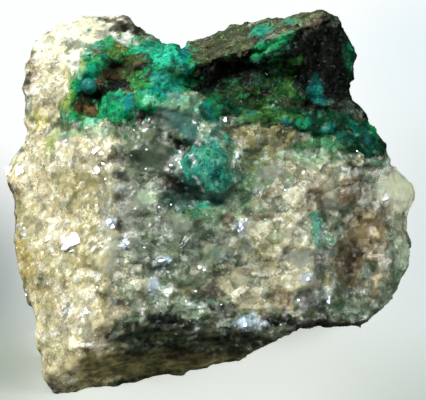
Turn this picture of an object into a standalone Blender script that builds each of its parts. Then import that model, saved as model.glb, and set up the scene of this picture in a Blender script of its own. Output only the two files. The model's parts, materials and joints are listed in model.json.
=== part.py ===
"""Chrysocolla specimen: a broken lump of sugary quartz, capped with dark copper ore and a blue-green crust.

The rock is carved in a face-on frame: X to the right, Y into the rock, Z up its broad front face. It is
then leant back and cut off flat where it rests. Sizes are in millimetres until the end, when the finished
mesh is scaled to metres.
"""

import math
import random

import bmesh
import bpy
from mathutils import Matrix, Vector, noise
from mathutils.bvhtree import BVHTree

MM = 0.001

# Driving dimensions
LEAN_DEG = 25.0  # how far the broad face leans back from upright
BLOCK_DEPTH = 31.0  # front to back of the uncut blocks
BLOCK_FRONT = -2.0  # where their front side is
VOXEL = 0.45  # grid that fuses the blocks and the crust beads into one lump
TRIANGLES = 10400  # faces left on the lump before its foot is cut off
SOFTEN_PASSES = 3
STONE_COLOUR = (0.62, 0.58, 0.46, 1.0)

# Outlines of the uncut blocks in the face-on frame, as (x, z)
MATRIX_OUTLINE = [
    (-20.1, 46.7), (-17.4, 48.5), (-13.8, 48.9), (-10.6, 48.8), (-9.4, 48.0), (-8.2, 46.7),
    (-6.4, 45.6), (-5.6, 45.1), (-2.5, 43.2), (-0.7, 39.3), (3.0, 36.8), (10.9, 36.4),
    (15.7, 34.9), (20.0, 31.3), (22.1, 30.4), (23.8, 29.0), (25.1, 27.7), (25.2, 26.5),
    (24.0, 24.9), (23.9, 22.1), (24.6, 21.3), (24.5, 18.6), (23.4, 16.4), (22.4, 14.7),
    (21.0, 13.2), (19.6, 12.4), (19.4, 11.6), (17.8, 10.7), (15.4, 10.8), (10.0, 10.6),
    (8.1, 9.8), (5.2, 7.9), (2.7, 6.6), (-1.3, 5.9), (-7.7, 5.1), (-10.0, 4.2),
    (-10.8, 2.6), (-14.3, 1.4), (-16.1, 1.6), (-18.9, 2.8), (-19.7, 4.5), (-20.5, 7.3),
    (-21.1, 10.6), (-22.3, 15.2), (-22.9, 18.0), (-23.8, 21.9), (-24.0, 25.3), (-25.0, 28.8),
    (-25.1, 30.0), (-23.8, 31.9), (-22.4, 33.4), (-22.3, 34.9), (-23.0, 37.7), (-23.5, 40.1),
    (-23.4, 42.7), (-22.7, 44.4), (-21.6, 45.7),
]
ORE_OUTLINE = [
    (-3.9, 43.2), (-2.9, 45.8), (0.3, 46.4), (2.7, 47.7), (5.2, 47.9), (8.8, 48.0),
    (11.2, 48.5), (13.7, 48.9), (15.6, 48.5), (16.1, 46.7), (17.3, 44.6), (17.1, 41.3),
    (16.2, 38.6), (16.0, 35.3), (10.9, 34.1), (3.6, 35.3), (-0.1, 37.3), (-2.5, 40.1),
]
SHOULDER_OUTLINE = [
    (15.1, 38.4), (16.8, 38.3), (18.3, 37.3), (19.5, 35.0), (21.2, 33.0), (21.4, 31.6),
    (22.1, 30.4), (17.0, 30.4), (14.5, 34.7),
]

# Breaks that cut the blocks: a point on the break, then how far its outward side turns from the front
# towards +X and tips up, in degrees
MATRIX_BREAKS = {
    "front": ((-12.2, 0.0, 26.2), 12, 4),
    "left_cheek": ((-12.2, 0.0, 26.2), -38, 6),
    "left_shoulder": ((-18.3, 4.9, 35.9), -30, 30),
    "crust_slope": ((-5.5, 2.4, 38.6), 5, 50),
    "right_bevel": ((19.4, 8.5, 22.5), 40, 0),
    "lower_right": ((19.4, 7.2, 14.0), 28, -16),
    "foot_upper": ((-7.3, 0.0, 11.5), 8, -28),
    "foot_lower": ((-7.3, 1.9, 8.1), 14, -50),
    "back": ((0.0, 23.1, 26.2), 188, 13),
    "back_left": ((-20.7, 18.2, 26.2), 225, 8),
    "back_right": ((21.9, 18.8, 24.0), 140, 5),
    "back_top": ((0.0, 19.5, 43.0), 176, 42),
    "back_foot": ((4.0, 25.0, 10.0), 170, -30),
}
ORE_BREAKS = {
    "ledge_top": ((4.8, 3.0, 44.4), -47, 60),
    "under_ledge": ((4.8, 3.0, 44.0), -5, -32),
    "black_facet": ((10.3, 2.9, 46.0), 35, -6),
    "back": ((6.0, 19.5, 42.0), 182, 16),
    "back_right": ((15.8, 14.5, 42.0), 132, 10),
    "back_top": ((6.0, 14.5, 48.0), 178, 60),
}
SHOULDER_BREAKS = {
    "front": ((17.0, 6.1, 35.3), 42, 18),
    "back": ((18.2, 15.8, 34.0), 150, 20),
}

# Lumps and hollows: centre (x, z), half width and half height, and how far each stands out (+) or
# sinks in (-). Each fades out a little past its half sizes.
FRONT_RELIEF = {
    "crust_mound": ((0.3, 30.8), (3.0, 4.3), 1.8),
    "crust_knob": ((-5.4, 43.2), (2.6, 1.8), 0.9),
    "crust_shelf": ((-5.0, 39.0), (4.0, 1.6), 0.7),
    "blue_ball": ((-14.9, 40.6), (1.2, 1.2), 2.0),
    "left_pocket": ((-14.5, 38.0), (2.4, 1.8), -2.4),
    "upper_pocket": ((-10.9, 42.3), (3.2, 1.6), -2.2),
    "under_ledge_hollow": ((0.6, 41.0), (4.8, 1.7), -3.0),
    "ore_hollow": ((7.8, 40.6), (3.2, 2.0), -1.2),
    "facet_hollow": ((12.6, 41.0), (1.8, 3.4), -0.6),
    "ore_green_rib": ((8.3, 44.2), (2.4, 0.9), 0.6),
    "crevice": ((-1.6, 26.2), (3.2, 1.4), -1.8),
    "crevice_left": ((-3.6, 32.3), (1.5, 1.1), -0.8),
    "dark_hollow": ((-8.6, 36.0), (1.8, 1.1), -0.8),
    "grey_face": ((-4.6, 36.0), (3.0, 1.6), 0.6),
    "grey_lump": ((-8.0, 31.6), (2.6, 2.0), 0.5),
    "chip_hollow": ((-6.4, 17.8), (1.4, 1.2), -0.7),
    "foot_lump": ((4.8, 11.0), (1.9, 1.4), 0.9),
    "foot_lump_left": ((-6.0, 13.0), (2.4, 1.7), 0.8),
    "tan_shelf": ((6.8, 33.6), (4.5, 1.6), 0.7),
    "brown_hollow": ((17.4, 19.0), (2.6, 4.0), -0.9),
    "right_lobe": ((22.6, 19.5), (1.8, 3.4), 0.7),
    "right_tip": ((23.4, 27.0), (2.4, 2.2), 0.5),
    "cheek_ridge": ((-12.4, 30.5), (1.4, 7.0), 0.4),
    "cheek_hollow": ((-19.5, 35.0), (2.4, 3.0), -0.6),
    "foot_dent": ((-11.5, 8.6), (2.2, 1.4), -0.6),
}
BACK_RELIEF = {
    "ore_boss": ((8.0, 40.5), (5.0, 4.0), 1.2),
    "upper_scoop": ((-6.5, 37.0), (5.5, 4.5), -1.7),
    "left_rib": ((-16.5, 27.0), (2.2, 8.0), 1.0),
    "middle_pit": ((2.5, 29.5), (2.6, 2.0), -1.3),
    "right_shelf": ((14.5, 25.5), (5.0, 1.8), 1.3),
    "lower_scoop": ((7.0, 17.5), (5.0, 3.6), -1.2),
    "lower_lump": ((-6.0, 17.0), (4.0, 3.0), 1.1),
}

# Granular crust: patches of beads on the front side, as centre (x, z), half width and half height,
# and how many beads
BEAD_PATCHES = {
    "saddle": ((-5.6, 41.6), (4.0, 3.0), 24),
    "slope": ((-10.6, 38.0), (4.2, 2.2), 16),
    "upper_left": ((-14.2, 42.8), (3.0, 2.0), 9),
    "mound": ((0.2, 31.0), (2.8, 4.4), 22),
    "shoulder": ((18.6, 32.8), (2.6, 2.2), 8),
}
BEAD_RADIUS = (0.7, 1.3)
BEAD_SUNK = 0.1  # how deep a bead's middle sits, as a share of its radius
BEAD_SEED = 11

# The part right of this crack stands back, less and less towards the rock's right side
CRACK_X = 13.1
CRACK_WANDER = {"size": 2.5, "width": 0.5}
CRACK_BOTTOM, CRACK_TOP = (10.5, 12.0), (24.5, 27.0)  # where each end begins and is over
CRACK_STEP = 1.3
STEP_FADES = (17.5, 22.0)
CRACK_EDGE = 0.4
CRACK_GROOVE = 0.8

# Roughness of the broken surface: size of the pattern and how far it moves the surface
SWELLS = {"size": 7.5, "height": 0.55, "fineness": 0.9, "octaves": 3}
CHIPS = {"size": 2.9, "height": 0.4, "tilt": 0.3, "on_crust": 0.2, "crust_edge": 0.3, "shuffle": 9.7}
GRAIN = {"size": 1.5, "height": 0.2}

FADE_REACH = 2.2  # where an oval's height reaches zero, as a squared share of its half size
SIDE_ON, FACE_ON = 0.1, 0.5  # relief grows in between these shares of facing the front or back


def outward(turn, tip):
    """The way a break faces: turn from the front towards +X, and tip up, in degrees."""
    turn, tip = math.radians(turn), math.radians(tip)
    return Vector((math.sin(turn) * math.cos(tip), -math.cos(turn) * math.cos(tip), math.sin(tip)))


def break_off(shape, point, normal):
    """Cuts away all that lies beyond the plane and closes the cut."""
    geometry = shape.verts[:] + shape.edges[:] + shape.faces[:]
    cut = bmesh.ops.bisect_plane(shape, geom=geometry, plane_co=point, plane_no=normal, clear_outer=True)
    rim = [item for item in cut["geom_cut"] if isinstance(item, bmesh.types.BMEdge)]
    if rim:
        bmesh.ops.holes_fill(shape, edges=rim, sides=0)


def evaluated_mesh(rock):
    """The object's mesh with its modifiers applied."""
    bpy.context.view_layer.update()
    graph = bpy.context.evaluated_depsgraph_get()
    return bpy.data.meshes.new_from_object(rock.evaluated_get(graph))


def bake_modifiers(rock):
    mesh = evaluated_mesh(rock)
    rock.modifiers.clear()
    old, rock.data = rock.data, mesh
    bpy.data.meshes.remove(old)


def chipped_block(name, outline, breaks, collection):
    """An extruded outline, cut by its breaks."""
    curve = bpy.data.curves.new(name, "CURVE")
    curve.dimensions = "2D"
    curve.fill_mode = "BOTH"
    curve.extrude = BLOCK_DEPTH / 2
    spline = curve.splines.new("POLY")
    spline.points.add(len(outline) - 1)
    for point, (x, z) in zip(spline.points, outline):
        point.co = (x, z, 0, 1)
    spline.use_cyclic_u = True
    guide = bpy.data.objects.new(name + "_outline", curve)
    collection.objects.link(guide)
    mesh = evaluated_mesh(guide)
    bpy.data.objects.remove(guide)

    shape = bmesh.new()
    shape.from_mesh(mesh)
    bmesh.ops.remove_doubles(shape, verts=shape.verts, dist=0.001)
    upright = Matrix.Translation((0, BLOCK_FRONT + BLOCK_DEPTH / 2, 0)) @ Matrix.Rotation(math.pi / 2, 4, "X")
    bmesh.ops.transform(shape, matrix=upright, verts=shape.verts)
    for point, turn, tip in breaks.values():
        break_off(shape, Vector(point), outward(turn, tip))
    bmesh.ops.recalc_face_normals(shape, faces=shape.faces)
    shape.to_mesh(mesh)
    shape.free()
    return mesh


def fuse(rock):
    """Makes all that overlaps in the object one closed lump on an even grid."""
    grid = rock.modifiers.new("fuse", "REMESH")
    grid.mode = "VOXEL"
    grid.voxel_size = VOXEL
    grid.adaptivity = 0
    bake_modifiers(rock)


def joined_blocks(name, meshes, collection):
    """The blocks as one closed lump in one object."""
    shape = bmesh.new()
    for mesh in meshes:
        shape.from_mesh(mesh)
    lump = bpy.data.meshes.new(name)
    shape.to_mesh(lump)
    shape.free()
    rock = bpy.data.objects.new(name, lump)
    collection.objects.link(rock)
    fuse(rock)
    return rock


def grow_beads(rock):
    """Sets small round beads into the front side, where the crust is, and fuses them to the rock."""
    draw = random.Random(BEAD_SEED)
    shape = bmesh.new()
    shape.from_mesh(rock.data)
    surface = BVHTree.FromBMesh(shape)
    for centre, half, count in BEAD_PATCHES.values():
        for _ in range(count):
            turn, reach = draw.uniform(0, math.tau), math.sqrt(draw.random())
            x = centre[0] + half[0] * reach * math.cos(turn)
            z = centre[1] + half[1] * reach * math.sin(turn)
            radius = draw.uniform(*BEAD_RADIUS)
            hit, normal, _, _ = surface.ray_cast(Vector((x, -BLOCK_DEPTH, z)), Vector((0, 1, 0)))
            if hit:
                place = Matrix.Translation(hit - BEAD_SUNK * radius * normal)
                bmesh.ops.create_icosphere(shape, subdivisions=2, radius=radius, matrix=place)
    shape.to_mesh(rock.data)
    shape.free()
    fuse(rock)


def oval(p, centre, half):
    """1 at the middle of an oval, 0 from its rim outwards."""
    reach = ((p.x - centre[0]) / half[0]) ** 2 + ((p.z - centre[1]) / half[1]) ** 2
    return max(0.0, 1 - reach / FADE_REACH) ** 2


def smooth_step(value, low, high):
    """0 below low, 1 above high, and a smooth rise between them."""
    t = min(1.0, max(0.0, (value - low) / (high - low)))
    return t * t * (3 - 2 * t)


def crack(p):
    """How deep the crack and the step beyond it are."""
    along = smooth_step(p.z, *CRACK_BOTTOM) * (1 - smooth_step(p.z, *CRACK_TOP))
    wander = CRACK_WANDER["width"] * noise.noise(Vector((0, 0, p.z / CRACK_WANDER["size"])))
    offset = p.x - CRACK_X - wander
    step = smooth_step(offset, -CRACK_EDGE, CRACK_EDGE) * (1 - smooth_step(p.x, *STEP_FADES))
    groove = max(0.0, 1 - abs(offset) / (2 * CRACK_EDGE))
    return along * (CRACK_STEP * step + CRACK_GROOVE * groove)


def relief(p, normal):
    """How far the lumps, hollows and the crack move a point along its normal."""
    front = smooth_step(-normal.y, SIDE_ON, FACE_ON)
    back = smooth_step(normal.y, SIDE_ON, FACE_ON)
    height = -front * crack(p)
    for share, table in ((front, FRONT_RELIEF), (back, BACK_RELIEF)):
        if share:
            height += share * sum(size * oval(p, centre, half) for centre, half, size in table.values())
    return height


def chips(p, normal):
    """Small flat breaks, each with its own height and tilt, fainter where the crust covers them."""
    cell = noise.voronoi(p / CHIPS["size"])[1][0]
    lean = noise.cell_vector(cell * CHIPS["shuffle"]) - Vector((0.5, 0.5, 0.5))
    offset = p - cell * CHIPS["size"]
    bare = 1.0
    if normal.y < 0:
        crust = max(oval(p, centre, half) for centre, half, _ in BEAD_PATCHES.values())
        bare = 1 - (1 - CHIPS["on_crust"]) * smooth_step(crust, 0, CHIPS["crust_edge"])
    return bare * (CHIPS["height"] * lean.x + CHIPS["tilt"] * lean.dot(offset))


def swells(p, _normal):
    return SWELLS["height"] * noise.fractal(p / SWELLS["size"], SWELLS["fineness"], 2.0, SWELLS["octaves"])


def grain(p, _normal):
    return GRAIN["height"] * noise.noise(p / GRAIN["size"])


def soften(rock):
    """Wears the sharp edges of the breaks down a little."""
    shape = bmesh.new()
    shape.from_mesh(rock.data)
    every_way = {"use_axis_x": True, "use_axis_y": True, "use_axis_z": True}
    for _ in range(SOFTEN_PASSES):
        bmesh.ops.smooth_vert(shape, verts=shape.verts, factor=0.5, **every_way)
    shape.to_mesh(rock.data)
    shape.free()


def push(rock, surfaces):
    """Moves each point of the lump along its normal by each surface's height in turn."""
    shape = bmesh.new()
    shape.from_mesh(rock.data)
    for surface in surfaces:
        shape.normal_update()
        moves = [surface(vert.co, vert.normal) * vert.normal for vert in shape.verts]
        for vert, move in zip(shape.verts, moves):
            vert.co += move
    shape.to_mesh(rock.data)
    shape.free()


def lighten(rock):
    """Merges the smallest faces until about TRIANGLES are left."""
    rock.data.calc_loop_triangles()
    fewer = rock.modifiers.new("lighten", "DECIMATE")
    fewer.ratio = TRIANGLES / len(rock.data.loop_triangles)
    bake_modifiers(rock)


def lean_and_seat(rock):
    """Leans the lump back, cuts its foot off flat, and puts the middle of its box over the origin."""
    shape = bmesh.new()
    shape.from_mesh(rock.data)
    bmesh.ops.transform(shape, matrix=Matrix.Rotation(math.radians(-LEAN_DEG), 4, "X"), verts=shape.verts)
    break_off(shape, Vector((0, 0, 0)), Vector((0, 0, -1)))
    bmesh.ops.triangulate(shape, faces=shape.faces)
    bmesh.ops.recalc_face_normals(shape, faces=shape.faces)
    xs = [vert.co.x for vert in shape.verts]
    ys = [vert.co.y for vert in shape.verts]
    middle = Vector((-(min(xs) + max(xs)) / 2, -(min(ys) + max(ys)) / 2, 0))
    bmesh.ops.translate(shape, vec=middle, verts=shape.verts)
    bmesh.ops.scale(shape, vec=(MM, MM, MM), verts=shape.verts)
    shape.to_mesh(rock.data)
    shape.free()


def stone_material():
    """Pale stone, dull all over."""
    stone = bpy.data.materials.new("copper_stained_quartz")
    stone.use_nodes = True
    surface = stone.node_tree.nodes["Principled BSDF"]
    surface.inputs["Base Color"].default_value = STONE_COLOUR
    surface.inputs["Roughness"].default_value = 0.7
    surface.inputs["Metallic"].default_value = 0.0
    return stone


def main():
    for obj in list(bpy.data.objects):
        bpy.data.objects.remove(obj)
    collection = bpy.data.collections.new("chrysocolla_specimen")
    bpy.context.scene.collection.children.link(collection)
    blocks = [
        chipped_block("matrix", MATRIX_OUTLINE, MATRIX_BREAKS, collection),
        chipped_block("ore", ORE_OUTLINE, ORE_BREAKS, collection),
        chipped_block("shoulder", SHOULDER_OUTLINE, SHOULDER_BREAKS, collection),
    ]
    rock = joined_blocks("chrysocolla_rock", blocks, collection)
    soften(rock)
    push(rock, (relief, swells))
    grow_beads(rock)
    push(rock, (chips, grain))
    lighten(rock)
    lean_and_seat(rock)
    rock.data.materials.append(stone_material())
    rock.data.shade_flat()


main()
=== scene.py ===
# Looks of a chrysocolla specimen: sugary quartz, a dark copper ore cap and a blue-green crust.
import json
import math
import random

import bmesh
import bpy
import numpy as np
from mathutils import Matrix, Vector, noise
from mathutils.bvhtree import BVHTree

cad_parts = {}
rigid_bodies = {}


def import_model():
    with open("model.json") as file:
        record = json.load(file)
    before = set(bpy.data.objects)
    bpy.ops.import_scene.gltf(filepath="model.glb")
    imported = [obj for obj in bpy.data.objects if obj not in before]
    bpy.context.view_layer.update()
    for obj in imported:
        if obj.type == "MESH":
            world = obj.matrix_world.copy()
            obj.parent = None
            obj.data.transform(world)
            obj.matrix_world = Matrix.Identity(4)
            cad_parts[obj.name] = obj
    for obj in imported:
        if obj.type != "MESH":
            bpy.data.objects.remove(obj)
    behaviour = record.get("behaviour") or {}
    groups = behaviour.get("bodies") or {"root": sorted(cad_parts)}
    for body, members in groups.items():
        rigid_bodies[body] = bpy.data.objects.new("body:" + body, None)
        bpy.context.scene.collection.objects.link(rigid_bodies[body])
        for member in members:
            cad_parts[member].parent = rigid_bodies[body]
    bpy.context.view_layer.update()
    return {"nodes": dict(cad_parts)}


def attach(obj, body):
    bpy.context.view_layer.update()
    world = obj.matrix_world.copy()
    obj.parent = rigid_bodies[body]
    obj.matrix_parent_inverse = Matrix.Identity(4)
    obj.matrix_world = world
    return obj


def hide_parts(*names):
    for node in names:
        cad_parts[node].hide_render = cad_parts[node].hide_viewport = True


mm = 0.001

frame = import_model()
rock = frame["nodes"]["chrysocolla_rock"]
print("frame loaded")

# The broad face leans back. Its own frame is across, into the stone and up, in millimetres.
# Marks on it are placed in small steps across and down, as an eye straight in front sees them.
face = {
    "lean": math.radians(25),
    "shift": (-0.197, -20.058),
    "aim": (0.3, 8.0, 26.16),
    "eyeDistance": 500.0,
    "step": 0.1215,
    "aimStep": (213.0, 200.0),
}
cosLean, sinLean = math.cos(face["lean"]), math.sin(face["lean"])


def toFace(points):
    # face-frame millimetres of world points in metres
    p = np.asarray(points) / mm
    x = p[..., 0] - face["shift"][0]
    y = p[..., 1] - face["shift"][1]
    z = p[..., 2]
    return np.stack([x, y * cosLean - z * sinLean, y * sinLean + z * cosLean], axis=-1)


def turnToWorld(v):
    return Vector((v[0], v[1] * cosLean + v[2] * sinLean, v[2] * cosLean - v[1] * sinLean))


def toWorld(p):
    x, y, z = turnToWorld(p)
    return Vector((x + face["shift"][0], y + face["shift"][1], z)) * mm


def toSteps(facePoints):
    # where the eye in front sees a point, in steps across and down the face
    near = face["eyeDistance"] / (face["eyeDistance"] + facePoints[..., 1] - face["aim"][1])
    across = (facePoints[..., 0] - face["aim"][0]) * near / face["step"] + face["aimStep"][0]
    down = (face["aim"][2] - facePoints[..., 2]) * near / face["step"] + face["aimStep"][1]
    return np.stack([across, down], axis=-1)


def ease(low, high, t):
    k = np.clip((t - low) / (high - low), 0, 1)
    return k * k * (3 - 2 * k)


def field(points, size, seed, octaves=3):
    # smooth noise from about -1 to 1, with lumps of that size
    shift = Vector((seed * 17.3, seed * 5.1, seed * 9.7))
    return np.array([noise.fractal(Vector(p) / size + shift, 1.0, 2.0, octaves) for p in points])


def linear(colour):
    # display values from 0 to 255 to scene-linear ones
    c = np.array(colour, float) / 255
    return np.where(c <= 0.04045, c / 12.92, ((c + 0.055) / 1.055) ** 2.4)


def addThing(name, data):
    thing = bpy.data.objects.new(name, data)
    bpy.context.scene.collection.objects.link(thing)
    return thing


def meshOf(work, name):
    # the worked shape as a mesh of its own
    mesh = bpy.data.meshes.new(name)
    work.to_mesh(mesh)
    work.free()
    return mesh


aim = toWorld(face["aim"])
eyeWay = Vector((0, -cosLean, sinLean))
eyePlace = aim + eyeWay * face["eyeDistance"] * mm

stage = {
    "floorSize": 3.0,
    "floorColour": (0.62, 0.66, 0.64),
    "floorBounce": 0.18,
    "floorRoughness": 0.9,
    "floorGlow": 0.73,
    "worldColour": (0.92, 1.0, 0.98),
    "worldStrength": 0.12,
    "backdrop": (0.90, 0.95, 0.97),
    # the card's glow to the eye is painted light: darker near the stone, brighter further back
    "nearPaintedGlow": (0.90, 0.955, 0.885, 1),
    "farPaintedGlow": (1.18, 1.20, 1.19, 1),
    "fadeBack": (-15.0, 55.0),
    # painted shade on the card, soft darker places: centre and radii in millimetres, and tone
    "paintedShadePools": [
        ((40, 20, 0), (32, 125, 40), (0.66, 0.75, 0.77, 1)),
        ((31, -22, 0), (26, 32, 40), (0.52, 0.58, 0.51, 1)),
        ((-33, 12, 0), (18, 56, 40), (0.22, 0.28, 0.28, 1)),
        ((-27, -6, 0), (16, 16, 40), (0.40, 0.45, 0.40, 1)),
        ((34, 92, 0), (20, 40, 40), (0.95, 1.06, 1.12, 1)),
        # these last two are a painted contact shadow under the stone
        ((-10, 11, 0), (15, 17, 40), (0.34, 0.38, 0.36, 1)),
        ((5, 12, 0), (15, 16, 40), (0.34, 0.38, 0.36, 1)),
    ],
    "keyPlace": (-0.28, -0.13, 0.36),
    "keySize": 0.12,
    "keyPower": 3.5,
    "fillPlace": (0.44, -0.26, 0.26),
    "fillSize": 0.30,
    "fillPower": 0.9,
    "rearPlace": (-0.30, 0.50, 0.34),
    "rearSize": 0.4,
    "rearPower": 0.9,
    "lens": 347.77,
    "sensor": 36,
}


def feed(tree, sockets, values):
    # sets sockets to values or links them
    for key, value in values.items():
        if isinstance(value, bpy.types.NodeSocket):
            tree.links.new(value, sockets[key])
        else:
            sockets[key].default_value = value


def put(tree, kind, inputs=None, **settings):
    # a node with its settings, and its inputs set or linked
    node = tree.nodes.new(kind)
    for name, value in settings.items():
        setattr(node, name, value)
    feed(tree, node.inputs, inputs or {})
    return node


def calc(tree, how, *values):
    return put(tree, "ShaderNodeMath", dict(enumerate(values)), operation=how).outputs[0]


def product(tree, first, *others):
    for value in others:
        first = calc(tree, "MULTIPLY", first, value)
    return first


def calcVector(tree, how, *values):
    node = put(tree, "ShaderNodeVectorMath", dict(enumerate(values)), operation=how)
    return node.outputs["Value" if how == "DOT_PRODUCT" else "Vector"]


def scaled(tree, vector, factor):
    node = put(tree, "ShaderNodeVectorMath", {0: vector, "Scale": factor}, operation="SCALE")
    return node.outputs["Vector"]


def spread(tree, value, low, high, newLow, newHigh, smooth=True):
    kind = "SMOOTHSTEP" if smooth else "LINEAR"
    inputs = {"Value": value, "From Min": low, "From Max": high, "To Min": newLow, "To Max": newHigh}
    return put(tree, "ShaderNodeMapRange", inputs, interpolation_type=kind).outputs["Result"]


def mixColour(tree, factor, a, b, how="MIX"):
    inputs = {0: factor, 6: a, 7: b}
    node = put(tree, "ShaderNodeMix", inputs, data_type="RGBA", blend_type=how, clamp_factor=True)
    return node.outputs[2]


def multiplied(tree, factor, colour, by):
    return mixColour(tree, factor, colour, by, "MULTIPLY")


def newMaterial(name):
    material = bpy.data.materials.new(name)
    material.use_nodes = True
    tree = material.node_tree
    tree.nodes.clear()
    shader = put(tree, "ShaderNodeBsdfPrincipled")
    put(tree, "ShaderNodeOutputMaterial", {"Surface": shader.outputs["BSDF"]})
    return material, tree, shader


def shadePool(tree, where, centre, radii):
    # a soft round falloff on the floor
    away = calcVector(tree, "DIVIDE", calcVector(tree, "SUBTRACT", where, centre), radii)
    reach = put(tree, "ShaderNodeVectorMath", {0: away}, operation="LENGTH").outputs["Value"]
    return spread(tree, reach, 0.0, 1.0, 1.0, 0.0)


def inMillimetres(tree):
    return scaled(tree, put(tree, "ShaderNodeTexCoord").outputs["Object"], 1 / mm)


def floorMaterial():
    # pale card that glows a little to the eye, and lights the stone only faintly; the glow is painted light,
    # darker near and brighter further back, with pools of painted shade
    material, tree, shader = newMaterial("paleCard")
    seen = put(tree, "ShaderNodeLightPath").outputs["Is Camera Ray"]
    bounce = (*[stage["floorBounce"]] * 3, 1)
    where = inMillimetres(tree)
    back = put(tree, "ShaderNodeSeparateXYZ", {0: where}).outputs[1]
    away = spread(tree, back, *stage["fadeBack"], 0.0, 1.0)
    paintedGlow = mixColour(tree, away, stage["nearPaintedGlow"], stage["farPaintedGlow"])
    for centre, radii, tone in stage["paintedShadePools"]:
        paintedGlow = mixColour(tree, shadePool(tree, where, centre, radii), paintedGlow, tone)
    feed(tree, shader.inputs, {
        "Base Color": mixColour(tree, seen, bounce, (*stage["floorColour"], 1)),
        "Roughness": stage["floorRoughness"],
        "Emission Color": paintedGlow,
        "Emission Strength": product(tree, seen, stage["floorGlow"]),
    })
    return material


def placeFloor():
    half = stage["floorSize"] / 2
    mesh = bpy.data.meshes.new("floor")
    corners = [(-half, -half, 0), (half, -half, 0), (half, half, 0), (-half, half, 0)]
    mesh.from_pydata(corners, [], [(0, 1, 2, 3)])
    mesh.materials.append(floorMaterial())
    floor = addThing("floor", mesh)


def placeLamp(name):
    lamp = bpy.data.lights.new(name, "AREA")
    lamp.energy = stage[name + "Power"]
    lamp.shape = "DISK"
    lamp.size = stage[name + "Size"]
    holder = addThing(name, lamp)
    holder.location = stage[name + "Place"]
    holder.rotation_euler = (aim - holder.location).to_track_quat("-Z", "Y").to_euler()


def lightRoom():
    world = bpy.data.worlds.new("softRoom")
    world.use_nodes = True
    bpy.context.scene.world = world
    tree = world.node_tree
    seen = put(tree, "ShaderNodeLightPath").outputs["Is Camera Ray"]
    room = (*[c * stage["worldStrength"] for c in stage["worldColour"]], 1)
    colour = mixColour(tree, seen, room, (*stage["backdrop"], 1))
    feed(tree, tree.nodes["Background"].inputs, {"Color": colour})


def placeCamera():
    camera = bpy.data.cameras.new("camera")
    camera.lens = stage["lens"]
    camera.sensor_width = stage["sensor"]
    holder = addThing("camera", camera)
    holder.location = eyePlace
    holder.rotation_euler = (math.pi / 2 - face["lean"], 0, 0)
    bpy.context.scene.camera = holder
    bpy.context.scene.view_settings.view_transform = "Standard"


placeFloor()
for lampName in ("key", "fill", "rear"):
    placeLamp(lampName)
lightRoom()
placeCamera()
print("stage, lights and camera placed")

pigments = {
    "cream": (190, 181, 146),
    "paleCream": (208, 207, 178),
    "sand": (166, 162, 134),
    "tan": (142, 136, 84),
    "ochre": (178, 160, 84),
    "orange": (156, 104, 48),
    "rust": (104, 66, 38),
    "brown": (112, 96, 66),
    "amber": (126, 110, 76),
    "peach": (196, 182, 150),
    "umber": (52, 44, 28),
    "greyGreen": (102, 116, 92),
    "grey": (136, 142, 130),
    "slate": (62, 76, 60),
    "blueGrey": (112, 130, 134),
    "tealGrey": (56, 100, 92),
    "violetGrey": (156, 152, 158),
    "steel": (78, 98, 102),
    "iceAndSheen": (178, 196, 216),
    "olive": (92, 92, 56),
    "lime": (136, 150, 80),
    "frostAndHighlight": (224, 228, 224),
    "paleGreen": (164, 186, 158),
    "sage": (118, 164, 120),
    "black": (9, 12, 9),
    "mint": (128, 204, 168),
    "teal": (14, 140, 108),
    "jade": (82, 152, 122),
    "foam": (68, 124, 80),
    "lagoon": (44, 142, 122),
    "pearl": (176, 174, 152),
    "khaki": (116, 114, 74),
    "bark": (184, 178, 122),
    "straw": (166, 158, 82),
    "cyan": (80, 206, 190),
    "aqua": (44, 190, 150),
    "blueTeal": (14, 124, 122),
    "deepTeal": (8, 74, 68),
    "emerald": (12, 134, 78),
    "leaf": (48, 122, 54),
    "grass": (54, 94, 36),
    "deepGreen": (8, 54, 32),
    "moss": (62, 76, 30),
    "darkMoss": (30, 42, 24),
    "oreBlack": (7, 12, 9),
    "oreBrown": (72, 76, 54),
    "orePinkAndHighlight": (112, 102, 88),
    "oreGrey": (76, 86, 76),
}

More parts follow.
